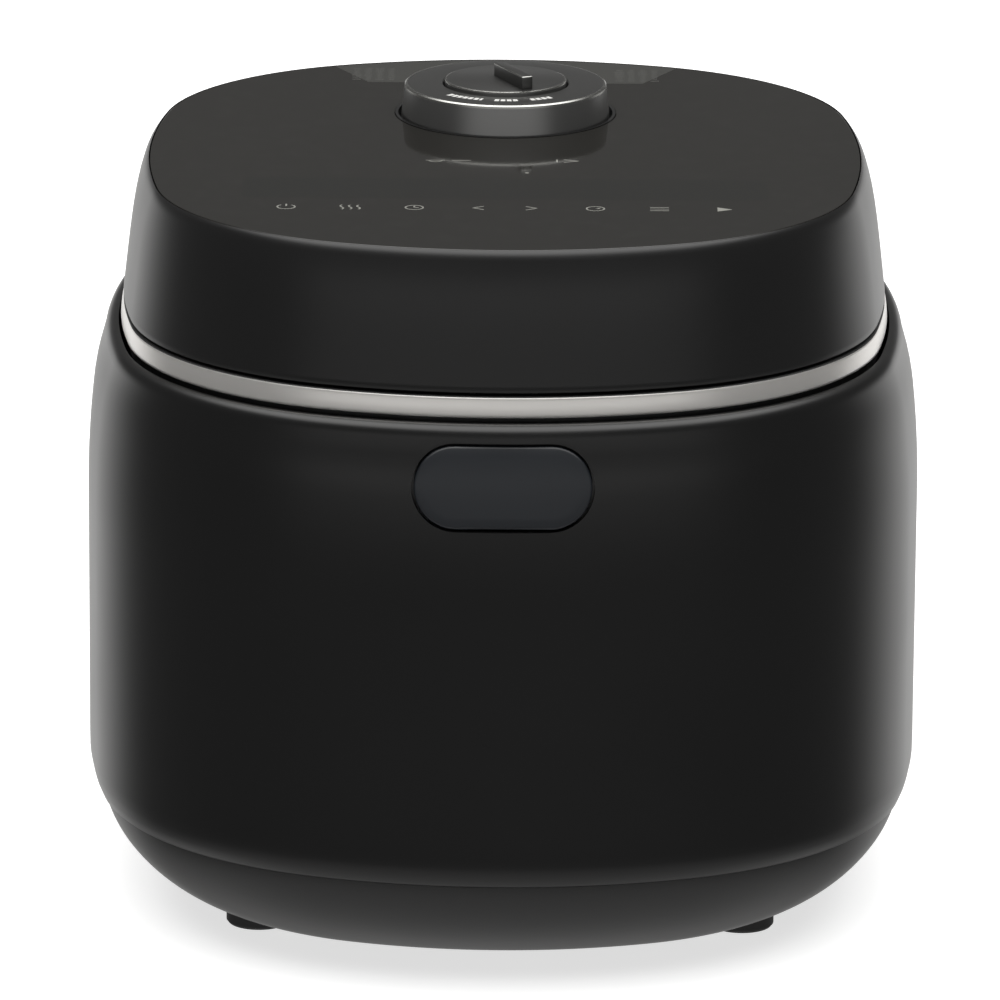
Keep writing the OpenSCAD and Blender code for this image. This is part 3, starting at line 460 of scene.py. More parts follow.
@dataclass(frozen=True)
class Finish:
    """A finished surface.

    Args:
        name: the material's name.
        colour: base colour, linear.
        roughness: roughness of the surface.
        metallic: 1 for bare metal.
        specular: specular level, 0.5 for a usual plastic.
        coat: weight of a clear coat.
        grain: bump distance of the fine grain, in metres.
        grain_scale: how fine the grain is.
        spread: how much the roughness wanders.
        dust: share of settled dust.
        glow: strength of its own light.
    """

    name: str
    colour: Rgb
    roughness: float
    metallic: float = 0.0
    specular: float = 0.5
    coat: float = 0.0
    grain: float = 0.00001
    grain_scale: float = 900.0
    spread: float = 0.04
    dust: float = 0.0
    glow: float = 0.0

    def material(self) -> bpy.types.Material:
        """The Blender material of this finish, made once."""
        if self.name in bpy.data.materials:
            return bpy.data.materials[self.name]
        made = bpy.data.materials.new(self.name)
        made.use_nodes = True
        made.diffuse_color = (*self.colour, 1.0)
        tree = made.node_tree
        tree.nodes.clear()
        w = Wiring(tree)
        grain = w.node("ShaderNodeGroup", node_tree=grain_group())
        for key, value in (("Scale", self.grain_scale), ("Roughness", self.roughness),
                           ("Spread", self.spread)):
            grain.inputs[key].default_value = value
        shader = w.node("ShaderNodeBsdfPrincipled", {"Base Color": (*self.colour, 1.0),
                        "Metallic": self.metallic, "Specular IOR Level": self.specular,
                        "Coat Weight": self.coat, "Coat Roughness": 0.03,
                        "Roughness": grain.outputs["Roughness"]})
        if self.dust > 0:
            dust = w.node("ShaderNodeGroup", node_tree=dust_group())
            dust.inputs["Colour"].default_value = (*self.colour, 1.0)
            dust.inputs["Amount"].default_value = self.dust
            tree.links.new(dust.outputs["Colour"], shader.inputs["Base Color"])
        if self.grain > 0:
            bump = w.node("ShaderNodeBump", {"Height": grain.outputs["Height"],
                          "Distance": self.grain, "Strength": 1.0})
            tree.links.new(bump.outputs[0], shader.inputs["Normal"])
        if self.glow > 0:
            shader.inputs["Emission Color"].default_value = (*self.colour, 1.0)
            shader.inputs["Emission Strength"].default_value = self.glow
        w.node("ShaderNodeOutputMaterial", {"Surface": shader.outputs[0]})
        return made

    def dress(self, piece: bpy.types.Object) -> None:
        """Puts this finish on a whole piece."""
        piece.data.materials.clear()
        piece.data.materials.append(self.material())

    def dress_node(self, node: str) -> None:
        """Puts this finish in a CAD node's material slots."""
        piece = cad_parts[node]
        if not piece.material_slots:
            piece.data.materials.append(self.material())
        for slot in piece.material_slots:
            slot.material = self.material()


def plastic(name: str, grey: float, roughness: float, **more) -> Finish:
    """A moulded or painted finish of an even grey."""
    return Finish(name, (grey, grey, grey * 1.02), roughness, **more)


def metal(name: str, grey: float, roughness: float, **more) -> Finish:
    """A bare metal finish of an even grey."""
    return Finish(name, (grey, grey * 1.005, grey * 1.01), roughness, metallic=1.0, **more)


SHELL_PAINT = plastic("shell_satin_black", 0.004, 0.30, grain=0.000006, dust=0.004)
LID_PAINT = plastic("lid_satin_black", 0.0055, 0.31, grain=0.000006, dust=0.004)
BASE_MOULDED = plastic("base_moulded_black", 0.007, 0.36, grain=0.00001)
PANEL_GLOSS = Finish("panel_gloss_black", (0.0125, 0.0118, 0.0103), 0.07, specular=0.5,
                     grain=0.0, spread=0.02, dust=0.004)
DISPLAY_GLOSS = Finish("display_window_black", (0.0105, 0.0105, 0.0092), 0.12, grain=0.0)
NOTE_BAND = Finish("note_band_grey", (0.034, 0.034, 0.031), 0.3, grain=0.0)
# Grey ink for the printed key signs; also one painted reflection on the panel.
MARK_INK_AND_GLINT = Finish("mark_ink_and_painted_glint_grey", (0.22, 0.22, 0.2), 0.4, grain=0.0)
KNOB_INK = Finish("knob_ink_white", (0.62, 0.62, 0.6), 0.4, grain=0.0)
FINE_INK = Finish("fine_ink_grey", (0.075, 0.075, 0.07), 0.4, grain=0.0)
KNOB_PAINT = Finish("knob_metallic_black", (0.085, 0.085, 0.083), 0.3, metallic=0.75,
                    grain=0.000004, grain_scale=1600.0)
# The knob's side band: a lighter metal, made lighter still to paint in its bright reflection bands.
KNOB_SIDE_SHEEN = Finish("knob_side_metal_and_painted_sheen", (0.24, 0.24, 0.237), 0.3, metallic=0.9, grain=0.000003,
                   grain_scale=1600.0)
# Bright metal laid on the knob's and dial's top edges and on the grip's sloped faces: a painted highlight.
KNOB_EDGE_HIGHLIGHT = Finish("knob_painted_edge_highlight", (0.42, 0.42, 0.4), 0.25, metallic=1.0, grain=0.0)
BUTTON_PAINT = Finish("button_satin_slate", (0.0095, 0.0112, 0.014), 0.34, grain=0.000006)
RING_BRIGHT = Finish("ring_satin_bright", (0.86, 0.84, 0.81), 0.3, metallic=0.85,
                     grain=0.000002, spread=0.03)
BEZEL_BLACK = plastic("bezel_gloss_black", 0.01, 0.12, grain=0.0)
# Matt black of the frame parts; also the painted shade on the bright ring's upward faces.
MATT_BLACK_AND_RING_SHADE = plastic("matt_black_and_painted_ring_shade", 0.016, 0.5, grain=0.00002)
RUBBER = plastic("rubber_black", 0.02, 0.75, grain=0.00002)
SMOKED = Finish("collector_smoked", (0.06, 0.063, 0.066), 0.18, grain=0.0, coat=0.3)
SILICONE = Finish("gasket_silicone", (0.62, 0.62, 0.59), 0.55, grain=0.000004)
SHEET = metal("drawn_sheet", 0.55, 0.32, grain=0.000004)
PLATE = metal("brushed_plate", 0.6, 0.26, grain=0.000004)
ZINC = metal("zinc_plated", 0.5, 0.4)
GROUND = metal("ground_steel", 0.6, 0.22)
SPRING = metal("spring_wire", 0.42, 0.3)
BRASS = Finish("plated_brass", (0.72, 0.55, 0.25), 0.3, metallic=1.0)
CAST = metal("cast_alloy", 0.48, 0.45, grain=0.00003)
COATED = Finish("pot_coating", (0.03, 0.03, 0.031), 0.38, grain=0.00001, specular=0.6)
BOARD = Finish("board_green", (0.02, 0.13, 0.05), 0.4)
CERAMIC = Finish("ceramic_white", (0.7, 0.69, 0.65), 0.5)
SWITCH = Finish("switch_blue", (0.03, 0.06, 0.14), 0.45)
DARK_PART = plastic("dark_component", 0.02, 0.4)
FLOAT_RED = Finish("float_red", (0.42, 0.03, 0.02), 0.4)

NODE_FINISH: dict[str, Finish] = {
    "base_screws": ZINC, "board_screws": ZINC, "lid_screws": ZINC, "foot_pads": RUBBER,
    "upper_frame": MATT_BLACK_AND_RING_SHADE, "dew_bracket": MATT_BLACK_AND_RING_SHADE, "lid_frame": MATT_BLACK_AND_RING_SHADE,
    "lid_cover": MATT_BLACK_AND_RING_SHADE, "pot_housing": SHEET, "lock_flange": PLATE, "inner_pot": COATED,
    "heating_plate": CAST, "heater_coil": ZINC, "sensor_cap": PLATE, "sensor_spring": SPRING,
    "pressure_switch": SWITCH, "power_board": BOARD, "control_board": BOARD,
    "touch_board": BOARD, "thermal_fuse": CERAMIC, "power_inlet": MATT_BLACK_AND_RING_SHADE,
    "inlet_pins": BRASS, "touch_springs": BRASS, "button_spring": SPRING,
    "latch_bracket": ZINC, "latch_hook": ZINC, "latch_pin": GROUND, "latch_spring": SPRING,
    "lid_catch": ZINC, "hinge_pin": GROUND, "hinge_spring": SPRING, "knob_bezel": BEZEL_BLACK,
    "lock_lever": ZINC, "pressure_valve": PLATE, "valve_seat": PLATE, "lock_ring": PLATE,
    "pressure_plate": PLATE, "inner_lid": PLATE, "lid_gasket": SILICONE,
    "float_valve": FLOAT_RED, "filter_cap": PLATE, "lid_stud": GROUND, "lid_grommet": RUBBER,
    "display_module": DARK_PART, "buzzer": DARK_PART,
}


# --- repeats ----------------------------------------------------------------------------------


@dataclass
class Repeat:
    """A grid of one small shape, made by a Geometry Nodes tree and baked to a plain mesh.

    Args:
        name: the piece's name.
        item: the shape that is repeated, at the origin.
        finish: what every copy is dressed in.
        columns: copies along X.
        rows: copies along the second direction.
        pitch: step along X, in metres.
        row_step: step from row to row, as a vector.
        origin: middle of the grid.
        spread: how much a copy's length along X may differ, 0 for none.
    """

    name: str
    item: bpy.types.Object
    finish: Finish
    columns: int
    rows: int
    pitch: float
    row_step: tuple[float, float, float]
    origin: tuple[float, float, float]
    spread: float = 0.0
    seed: int = 7

    def _tree(self) -> bpy.types.NodeTree:
        """Builds the tree, with named inputs for the sizes."""
        tree = bpy.data.node_groups.new(self.name + "_grid", "GeometryNodeTree")
        add_socket(tree, "Geometry", "Geometry")
        for name, kind in (("Item", "Object"), ("Finish", "Material"), ("Columns", "Int"),
                           ("Rows", "Int"), ("Pitch", "Float"), ("Row Step", "Vector"),
                           ("Origin", "Vector"), ("Spread", "Float"), ("Seed", "Int")):
            add_socket(tree, name, kind)
        add_socket(tree, "Geometry", "Geometry", out=True)
        w = Wiring(tree)
        given = w.node("NodeGroupInput").outputs
        step_x = w.node("ShaderNodeCombineXYZ", {"X": given["Pitch"]}).outputs[0]
        line = w.node("GeometryNodeMeshLine", {"Count": given["Columns"], "Offset": step_x})
        rows = w.node("GeometryNodeMeshLine", {"Count": given["Rows"], "Offset": given["Row Step"]})
        grid = w.node("GeometryNodeInstanceOnPoints",
                      {"Points": rows.outputs[0], "Instance": line.outputs[0]})
        points = w.node("GeometryNodeRealizeInstances", {"Geometry": grid.outputs[0]})
        shape = w.node("GeometryNodeObjectInfo", {"Object": given["Item"], "As Instance": True})
        least = w.math("SUBTRACT", 1.0, given["Spread"])
        length = w.node("FunctionNodeRandomValue", {2: least, 3: 1.0, "Seed": given["Seed"]},
                        data_type="FLOAT").outputs[1]
        scale = w.node("ShaderNodeCombineXYZ", {"X": length, "Y": 1.0, "Z": 1.0}).outputs[0]
        copies = w.node("GeometryNodeInstanceOnPoints",
                        {"Points": points.outputs[0], "Instance": shape.outputs["Geometry"],
                         "Scale": scale})
        span_x = w.math("MULTIPLY", w.math("SUBTRACT", given["Columns"], 1.0), -0.5)
        back_x = w.node("ShaderNodeVectorMath", {0: step_x, "Scale": span_x}, operation="SCALE")
        span_r = w.math("MULTIPLY", w.math("SUBTRACT", given["Rows"], 1.0), -0.5)
        back_r = w.node("ShaderNodeVectorMath", {0: given["Row Step"], "Scale": span_r},
                        operation="SCALE")
        middle = w.node("ShaderNodeVectorMath", {0: back_x.outputs[0], 1: back_r.outputs[0]},
                        operation="ADD")
        shift = w.node("ShaderNodeVectorMath", {0: middle.outputs[0], 1: given["Origin"]},
                       operation="ADD")
        placed = w.node("GeometryNodeTransform",
                        {"Geometry": copies.outputs[0], "Translation": shift.outputs[0]})
        real = w.node("GeometryNodeRealizeInstances", {"Geometry": placed.outputs[0]})
        dressed = w.node("GeometryNodeSetMaterial",
                         {"Geometry": real.outputs[0], "Material": given["Finish"]})
        w.node("NodeGroupOutput", {0: dressed.outputs[0]})
        return tree

    def build(self) -> bpy.types.Object:
        """The baked grid; the item itself is removed."""
        tree = self._tree()
        holder = bpy.data.objects.new(self.name, bpy.data.meshes.new(self.name))
        bpy.context.scene.collection.objects.link(holder)
        modifier = holder.modifiers.new("grid", "NODES")
        modifier.node_group = tree
        values = {"Item": self.item, "Finish": self.finish.material(), "Columns": self.columns,
                  "Rows": self.rows, "Pitch": self.pitch, "Row Step": self.row_step,
                  "Origin": self.origin, "Spread": self.spread, "Seed": self.seed}
        for socket in tree.interface.items_tree:
            if socket.item_type == "SOCKET" and socket.in_out == "INPUT" and socket.name in values:
                modifier[socket.identifier] = values[socket.name]
        holder.update_tag()
        bpy.context.view_layer.update()
        plain_mesh(holder)
        smooth(holder.data, 35.0)
        bpy.data.objects.remove(self.item)
        return holder


# --- the covers -------------------------------------------------------------------------------


@dataclass
class Cover:
    """What every part of the looks shares: the outline and the way a piece is handed over."""

    outline: Outline

    def rings(self, profile: Profile) -> list[Ring]:
        """Rings of the outline along a profile of (inset, height)."""
        return [self.outline.ring(inset, z) for inset, z in profile]

    @staticmethod
    def settle(piece: bpy.types.Object, body: Body, slot: str, *nodes: str) -> None:
        """Hands a piece over: puts it on what it rides on and hides the nodes that it stands for; the slot is
        not used.
        """
        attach(piece, body.value)
        if nodes:
            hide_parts(*nodes)
        log.info("%s: %d faces on %s", piece.name, len(piece.data.polygons), body.value)


@dataclass
class Wall(Cover):
    """The tall outer wall, with openings for the button, the collector and the inlet."""

    crown_h: float = 58 * MM
    crown_r: float = 330 * MM
    curl_in: float = 3 * MM
    curl_h: float = 10 * MM
    thickness: float = 2.6 * MM
    shoulder_r: float = 7.0 * MM
    shoulder_h: float = 24 * MM
    shoulder_in: float = 3.3 * MM
    shoulder_knee: float = 0.3 * MM
    lip_gap: float = 0.7 * MM
    lip_t: float = 2.4 * MM
    foot_edge: float = 1.0 * MM
    foot_in: float = 0.7 * MM
    button_gap: float = 0.9 * MM
    levels: int = 44

    def inset(self, z: float) -> float:
        """How far the wall lies inside the widest outline at a height."""
        seam, top = low("body_shell").z, high("body_shell").z
        crown_from = top - 4 * MM - self.crown_h
        into = max(0.0, z - crown_from) ** 2 / (2 * self.crown_r)
        low_part = max(0.0, seam + self.curl_h - z) / self.curl_h
        high_part = max(0.0, z - top + self.shoulder_h) / self.shoulder_h
        return into + self.curl_in * low_part**2 + self.shoulder_in * high_part**2

    def build(self) -> bpy.types.Object:
        """The wall as one closed shell."""
        seam, top = low("body_shell").z, high("body_shell").z
        lip = self.outline.half_w - high("trim_ring").x - self.lip_gap
        from_z = top - self.shoulder_r
        outer = [(self.inset(z), z) for z in np.linspace(from_z, seam + self.foot_edge, self.levels)]
        shoulder = bend((lip, top), (self.inset(from_z) + self.shoulder_knee, top), outer[0], 13)
        inner = [(x + self.thickness, z) for x, z in outer[::-3]]
        foot = [(self.inset(seam) + self.foot_in, seam), (self.inset(seam) + self.thickness, seam)]
        profile = shoulder[:-1] + outer[1:] + foot + inner + [(lip, top - self.lip_t)]
        piece = loft("body_wall", self.rings(profile), sharp=40)
        cut(piece, self._openings(), sharp=40)
        SHELL_PAINT.dress(piece)
        self.settle(piece, Body.HOUSING, "shell_black", "body_shell", "rear_wall")
        return piece

    def _openings(self) -> list[bpy.types.Object]:
        """Tool shapes for the three openings."""
        a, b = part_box("release_button")
        width, height = b.x - a.x + 2 * self.button_gap, b.z - a.z + 2 * self.button_gap
        z = (a.z + b.z) / 2
        front = self.outline.centre_y - self.outline.half_d
        pill = loft("pill_tool", [pill_ring(width, height, y, z) for y in (front - 0.01, front + 0.02)],
                    closed=False)
        c0, c1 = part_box("dew_collector")
        back = self.outline.centre_y + self.outline.half_d
        cup = block("cup_tool", (c0.x - MM, back - 0.02, c0.z - MM), (c1.x + MM, back + 0.02, c1.z + MM))
        i0, i1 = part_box("power_inlet")
        inlet = block("inlet_tool", (i0.x + 3 * MM, back - 0.02, i0.z + 3 * MM),
                      (i1.x - 3 * MM, back + 0.02, i1.z - 3 * MM))
        return [pill, cup, inlet]


@dataclass
class Skirt(Cover):
    """The base: a skirt that turns in under the body, and its flat underside."""

    turn_in: float = 45 * MM
    power: float = 1.18
    curl_in: float = 3.3 * MM
    thickness: float = 2.5 * MM
    steps: int = 40

    def build(self) -> bpy.types.Object:
        """The skirt and the underside, with its air slots cut through."""
        bottom, seam = low("base").z, high("base").z - 0.3 * MM
        turns = [math.radians(a) for a in np.linspace(0, 90, self.steps)]
        outer = [(self.curl_in + self.turn_in * (1 - math.cos(t) ** self.power),
                  seam - (seam - bottom) * math.sin(t) ** self.power) for t in turns]
        t = self.thickness
        inner = [(x + t, max(z, bottom + t)) for x, z in outer[::-4]]
        lip = [(outer[0][0] + 0.6 * MM, seam + 0.02 * MM)]
        profile = inner + lip + outer
        piece = loft("base_skirt", self.rings(profile), closed=False, sharp=40)
        cut(piece, [self._slots(bottom), *self._recesses(bottom)], sharp=40)
        BASE_MOULDED.dress(piece)
        self.settle(piece, Body.HOUSING, "base_black", "base")
        return piece

    def _slots(self, bottom: float) -> bpy.types.Object:
        """Tool shape for the air slots, as a grid of round-ended bars."""
        bar = loft("slot_bar", [self._stadium(32 * MM, 3.6 * MM, z) for z in (-4 * MM, 4 * MM)],
                   closed=False)
        return Repeat("slot_tool", bar, BASE_MOULDED, 2, 7, 56 * MM, (0.0, 9 * MM, 0.0),
                      (0.0, self.outline.centre_y, bottom)).build()

    @staticmethod
    def _stadium(length: float, width: float, z: float) -> Ring:
        """A level round-ended outline around the origin."""
        flat = pill_ring(length, width, 0.0, 0.0, 20)
        return np.column_stack([flat[:, 0], flat[:, 2], np.full(len(flat), z)])

    def _recesses(self, bottom: float) -> list[bpy.types.Object]:
        """Tool shapes for the screw recesses."""
        a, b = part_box("base_screws")
        reach = 3.4 * MM
        tools = []
        for x in (a.x + reach, b.x - reach):
            for y in (a.y + reach, b.y - reach):
                tools.append(loft("recess_tool", [circle(x, y, z, 4.2 * MM, 32)
                                                  for z in (bottom - MM, bottom + 4 * MM)], closed=False))
        return tools


@dataclass
class BrightRing(Cover):
    """The bright ring between the body and the lid, open at the hinge; its upward faces wear matt black as
    painted shade.
    """

    band: float = 2.1 * MM
    shelf: float = 5.2 * MM
    shelf_t: float = 1.5 * MM
    bulge: float = 0.2 * MM
    lean: float = 1.0 * MM
    edge: float = 0.4 * MM
    gap_half: float = 66 * MM
    # Upward slope over which the ring's faces are painted black as shade.
    painted_shade_above: float = 0.35

    def build(self) -> bpy.types.Object:
        """The ring as one closed band."""
        bottom, top = low("trim_ring").z, high("trim_ring").z
        inset = self.outline.half_w - high("trim_ring").x
        edge = self.edge
        face = []
        for k in range(9):
            u = k / 8
            lean = self.lean * (1 - u) + self.bulge * (2 * u - 1) ** 2
            face.append((inset + lean, top - edge - (top - bottom - 2 * edge) * u))
        shelf_in = inset + self.lean + 0.7 * MM
        profile = [(inset + self.shelf, top), (shelf_in, top), *face,
                   (inset + self.bulge + edge, bottom), (inset + self.band, bottom),
                   (inset + self.band, top - self.shelf_t), (inset + self.shelf, top - self.shelf_t)]
        piece = loft("bright_ring", self.rings(profile), sharp=50)
        half = self.gap_half
        cut(piece, [block("gap_tool", (-half, 0, bottom - 0.01), (half, 1, top + 0.01))], sharp=50)
        RING_BRIGHT.dress(piece)
        # Faces that look upwards get matt black: painted shade standing in for the dark gap under the lid.
        piece.data.materials.append(MATT_BLACK_AND_RING_SHADE.material())
        for polygon in piece.data.polygons:
            if polygon.normal.z > self.painted_shade_above:
                polygon.material_index = 1
        self.settle(piece, Body.HOUSING, "ring_silver", "trim_ring")
        return piece


@dataclass
class Lid(Cover):
    """The outer lid: leaning wall, rounded rim, hinge barrels."""

    lean: float = 7.1 * MM
    straight: float = 0.73
    bend: float = 5.0
    thickness: float = 2.5 * MM
    ledge: float = 8 * MM
    drop: float = 1.8 * MM
    rim_h: float = 4.2 * MM
    roof_t: float = 5.5 * MM
    barrel_r: float = 8.5 * MM
    bore_r: float = 3.05 * MM
    barrel_near: float = 27 * MM
    barrel_far: float = 48 * MM
    ear_middle: float = 53.25 * MM
    ear_half: float = 5.2 * MM
    panel_depth: float = 3.2 * MM
    levels: int = 26

    @property
    def foot_inset(self) -> float:
        """Inset of the lid's foot."""
        return self.outline.half_w - high("lid_shell").x

    @property
    def panel_inset(self) -> float:
        """Inset of the panel's edge."""
        return self.outline.half_w - high("top_panel").x - 0.3 * MM

    def wall(self, u: float) -> float:
        """Inset of the wall at a share of its height."""
        return self.foot_inset + self.lean * (self.straight * u + (1 - self.straight) * u**self.bend)

    def build(self) -> bpy.types.Object:
        """The lid's shell with its barrels."""
        foot = self.wall_foot()
        top = high("lid_shell").z
        height = top - foot
        rim_z = top - self.rim_h
        outer = [(self.wall(u), foot + (rim_z - foot) * u) for u in np.linspace(1, 0.016, self.levels)]
        inset = self.panel_inset
        start, end = outer[0], (inset - 0.15 * MM, top + 0.16 * MM)
        knee = (start[0] + 0.9 * MM, top - 1.1 * MM)
        rim = bend(end, knee, start, 9)
        inner = [(self.wall(u) + self.thickness, foot + (height - self.roof_t) * u)
                 for u in np.linspace(0, 1, 10)]
        profile = ([(inset, top - 0.2 * MM)] + rim[:-1] + outer
                   + [(self.foot_inset + 0.6 * MM, foot), (self.foot_inset + self.thickness, foot)]
                   + inner[1:]
                   + [(inset + self.ledge, top - self.roof_t),
                      (inset + self.ledge, top - self.panel_depth), (inset, top - self.panel_depth)])
        shell = loft("lid_shell_smooth", self.rings(profile), sharp=45)
        cut(shell, self._ear_tools(foot), sharp=45)
        piece = join("lid_outer", [shell, *self._barrels()])
        smooth(piece.data, 45)
        LID_PAINT.dress(piece)
        self.settle(piece, Body.LID, "lid_black", "lid_shell")
        return piece

    def wall_foot(self) -> float:
        """Height of the lid's lower edge."""
        return low("lid_cover").z - self.drop

    def _hinge(self) -> tuple[float, float]:
        """Where the hinge axis is, back and up."""
        a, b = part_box("hinge_pin")
        return (a.y + b.y) / 2, (a.z + b.z) / 2

    def _barrels(self) -> list[bpy.types.Object]:
        """The two hinge barrels, each with a web up to the lid's wall."""
        y, z = self._hinge()
        r, bore = self.barrel_r, self.bore_r
        made = []
        for side in (-1, 1):
            near, far = side * self.barrel_near, side * self.barrel_far
            profile = soften([(near, bore), (near, r), (far, r), (far, bore)],
                             (0, 0.6 * MM, 0.6 * MM, 0), 3)
            rings = []
            for x, radius in profile:
                a = np.linspace(0, 2 * math.pi, 48, endpoint=False)
                rings.append(np.column_stack([np.full(len(a), x), y + radius * np.cos(a),
                                              z + radius * np.sin(a)]))
            made.append(loft("barrel", rings, sharp=40))
            x0, x1 = sorted((near, far))
            back = self.outline.centre_y + self.outline.half_d - self.foot_inset - 1.0 * MM
            made.append(block("web", (x0, y + 1 * MM, z - 0.5 * MM), (x1, back, z + 16 * MM), 0.4 * MM))
        return made

    def _ear_tools(self, foot: float) -> list[bpy.types.Object]:
        """Tool shapes that clear the frame's hinge ears."""
        y, z = self._hinge()
        tools = []
        for side in (-1, 1):
            middle = side * self.ear_middle
            tools.append(block("ear_tool", (middle - self.ear_half, y - 9 * MM, foot - 0.01),
                               (middle + self.ear_half, y + 0.05, z + self.barrel_r)))
        return tools


@dataclass
class TouchPanel(Cover):
    """The glossy panel, its display window, its key marks and its note bands."""

    key_pitch: float = 23 * MM
    key_middle: float = 19 * MM
    key_y: float = -90.2 * MM
    stroke: float = 0.62 * MM
    lift: float = 0.02 * MM

    @property
    def top(self) -> float:
        """Height of the panel's face."""
        return high("top_panel").z

    def build(self) -> bpy.types.Object:
        """The panel with its round opening, and everything printed on it."""
        n = self.outline.count
        inset = self.outline.half_w - high("top_panel").x
        a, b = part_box("knob_bezel")
        x, y, r = (a.x + b.x) / 2, (a.y + b.y) / 2, (b.x - a.x) / 2 + 0.1 * MM
        bottom, top, edge = low("top_panel").z, self.top, 0.35 * MM
        rings = [self.outline.ring(inset, bottom), self.outline.ring(inset, top - edge),
                 self.outline.ring(inset + 0.1 * MM, top - 0.1 * MM), self.outline.ring(inset + edge, top)]
        for radius, z in ((r + 0.25 * MM, top), (r, top - 0.25 * MM), (r, bottom)):
            rings.append(self._circle_like(rings[0], x, y, z, radius, n))
        piece = loft("touch_panel", rings, sharp=15)
        PANEL_GLOSS.dress(piece)
        self.settle(piece, Body.LID, "panel_gloss", "top_panel")
        self._display()
        self._marks()
        self._note_bands()
        return piece

    @staticmethod
    def _circle_like(ring: Ring, x: float, y: float, z: float, r: float, count: int) -> Ring:
        """A circle whose points face those of an outline."""
        a = np.arctan2(ring[:, 1] - y, ring[:, 0] - x)
        return np.column_stack([x + r * np.cos(a), y + r * np.sin(a), np.full(count, z)])

    def _flat(self, name: str, loops: Sequence[Sequence[tuple[float, float]]], finish: Finish,
              lift: float | None = None) -> bpy.types.Object:
        """Flat printed shapes just above the panel, one face per loop."""
        verts, faces = [], []
        z = self.top + (self.lift if lift is None else lift)
        for loop in loops:
            faces.append(tuple(range(len(verts), len(verts) + len(loop))))
            verts += [(px, py, z) for px, py in loop]
        mesh = bpy.data.meshes.new(name)
        mesh.from_pydata(verts, [], faces)
        piece = bpy.data.objects.new(name, mesh)
        bpy.context.scene.collection.objects.link(piece)
        finish.dress(piece)
        self.settle(piece, Body.LID, "panel_gloss")
        return piece

    def _display(self) -> None:
        """The faint window over the display."""
        y0, y1 = -76 * MM, -46 * MM
        half = 95 * MM
        corner = 4 * MM
        loop = []
        for cx, cy, start in ((half, y1, 0), (-half, y1, 90), (-half, y0, 180), (half, y0, 270)):
            sx, sy = cx - math.copysign(corner, cx), cy - (corner if cy == y1 else -corner)
            for k in range(7):
                t = math.radians(start + 15 * k)
                loop.append((sx + corner * math.cos(t), sy + corner * math.sin(t)))
        self._flat("display_window", [loop], DISPLAY_GLOSS, 0.008 * MM)

    def ribbon(self, points: Sequence[tuple[float, float]], width: float) -> list[list[tuple[float, float]]]:
        """A line of a given width through points, as one quad per stretch."""
        loops = []
        for (x0, y0), (x1, y1) in zip(points, points[1:]):
            length = math.hypot(x1 - x0, y1 - y0) or 1.0
            nx, ny = -(y1 - y0) / length * width / 2, (x1 - x0) / length * width / 2
            loops.append([(x0 - nx, y0 - ny), (x1 - nx, y1 - ny), (x1 + nx, y1 + ny), (x0 + nx, y0 + ny)])
        return loops

    def arc(self, x: float, y: float, r: float, start: float, end: float,
            steps: int = 16) -> list[tuple[float, float]]:
        """Points on an arc, angles in degrees."""
        return [(x + r * math.cos(math.radians(t)), y + r * math.sin(math.radians(t)))
                for t in np.linspace(start, end, steps)]

    def _marks(self) -> None:
        """Plain signs over the eight keys, the two signs in front of the knob, and a painted reflection of
        the dial grip's highlight.
        """
        w, y, loops = self.stroke, self.key_y, []
        out = [self.key_middle / 2 + i * self.key_pitch for i in range(4)]
        xs = [-x for x in reversed(out)] + out
        stop, warm, timer, less, more, clock, memory, start = xs
        loops += self.ribbon(self.arc(stop, y, 3.2 * MM, 125, 415), w)
        loops += self.ribbon([(stop, y + 1 * MM), (stop, y + 4.2 * MM)], w)
        for k in (-1, 0, 1):
            wave = [(warm + 3 * k * MM + 0.6 * MM * math.sin(t), y + (t / 6.28 - 0.5) * 6.4 * MM)
                    for t in np.linspace(0, 6.28, 9)]
            loops += self.ribbon(wave, w)
        for x, turn in ((timer, 0), (clock, 60)):
            loops += self.ribbon(self.arc(x, y, 3.2 * MM, 0, 360, 22), w)
            hand = math.radians(90 - turn)
            loops += self.ribbon([(x, y), (x + 2.2 * MM * math.cos(hand), y + 2.2 * MM * math.sin(hand))], w)
            loops += self.ribbon([(x, y), (x + 1.6 * MM, y)], w)
        for x, way in ((less, -1), (more, 1)):
            loops += self.ribbon([(x - way * 2 * MM, y + 2.6 * MM), (x + way * 2 * MM, y),
                                  (x - way * 2 * MM, y - 2.6 * MM)], w)
        for k in (-1, 0, 1):
            row = y + 2.4 * k * MM
            loops += self.ribbon([(memory - 3.4 * MM, row), (memory + 3.4 * MM, row)], w)
        loops.append([(start - 2.2 * MM, y - 3 * MM), (start + 3.2 * MM, y), (start - 2.2 * MM, y + 3 * MM)])
        near = -18.4 * MM
        loops += self.ribbon(self.arc(-25.5 * MM, near, 2.4 * MM, 180, 360), w)
        loops += self.ribbon([(-29 * MM, near), (-22 * MM, near)], w)
        loops += self.ribbon([(-19.5 * MM, near), (-12.5 * MM, near)], w)
        loops += self.ribbon([(19 * MM, near - 2 * MM), (19 * MM, near + 2 * MM)], w)
        loops += self.ribbon([(21.5 * MM, near + 2 * MM), (27 * MM, near), (21.5 * MM, near - 2 * MM)], w)
        # A small ring of grey ink in front of the knob: a painted reflection of the dial grip's lit end in
        # the glossy panel.
        loops.append(self.arc(8.0 * MM, -37 * MM, 0.8 * MM, 0, 330, 12))
        self._flat("key_marks", loops, MARK_INK_AND_GLINT)

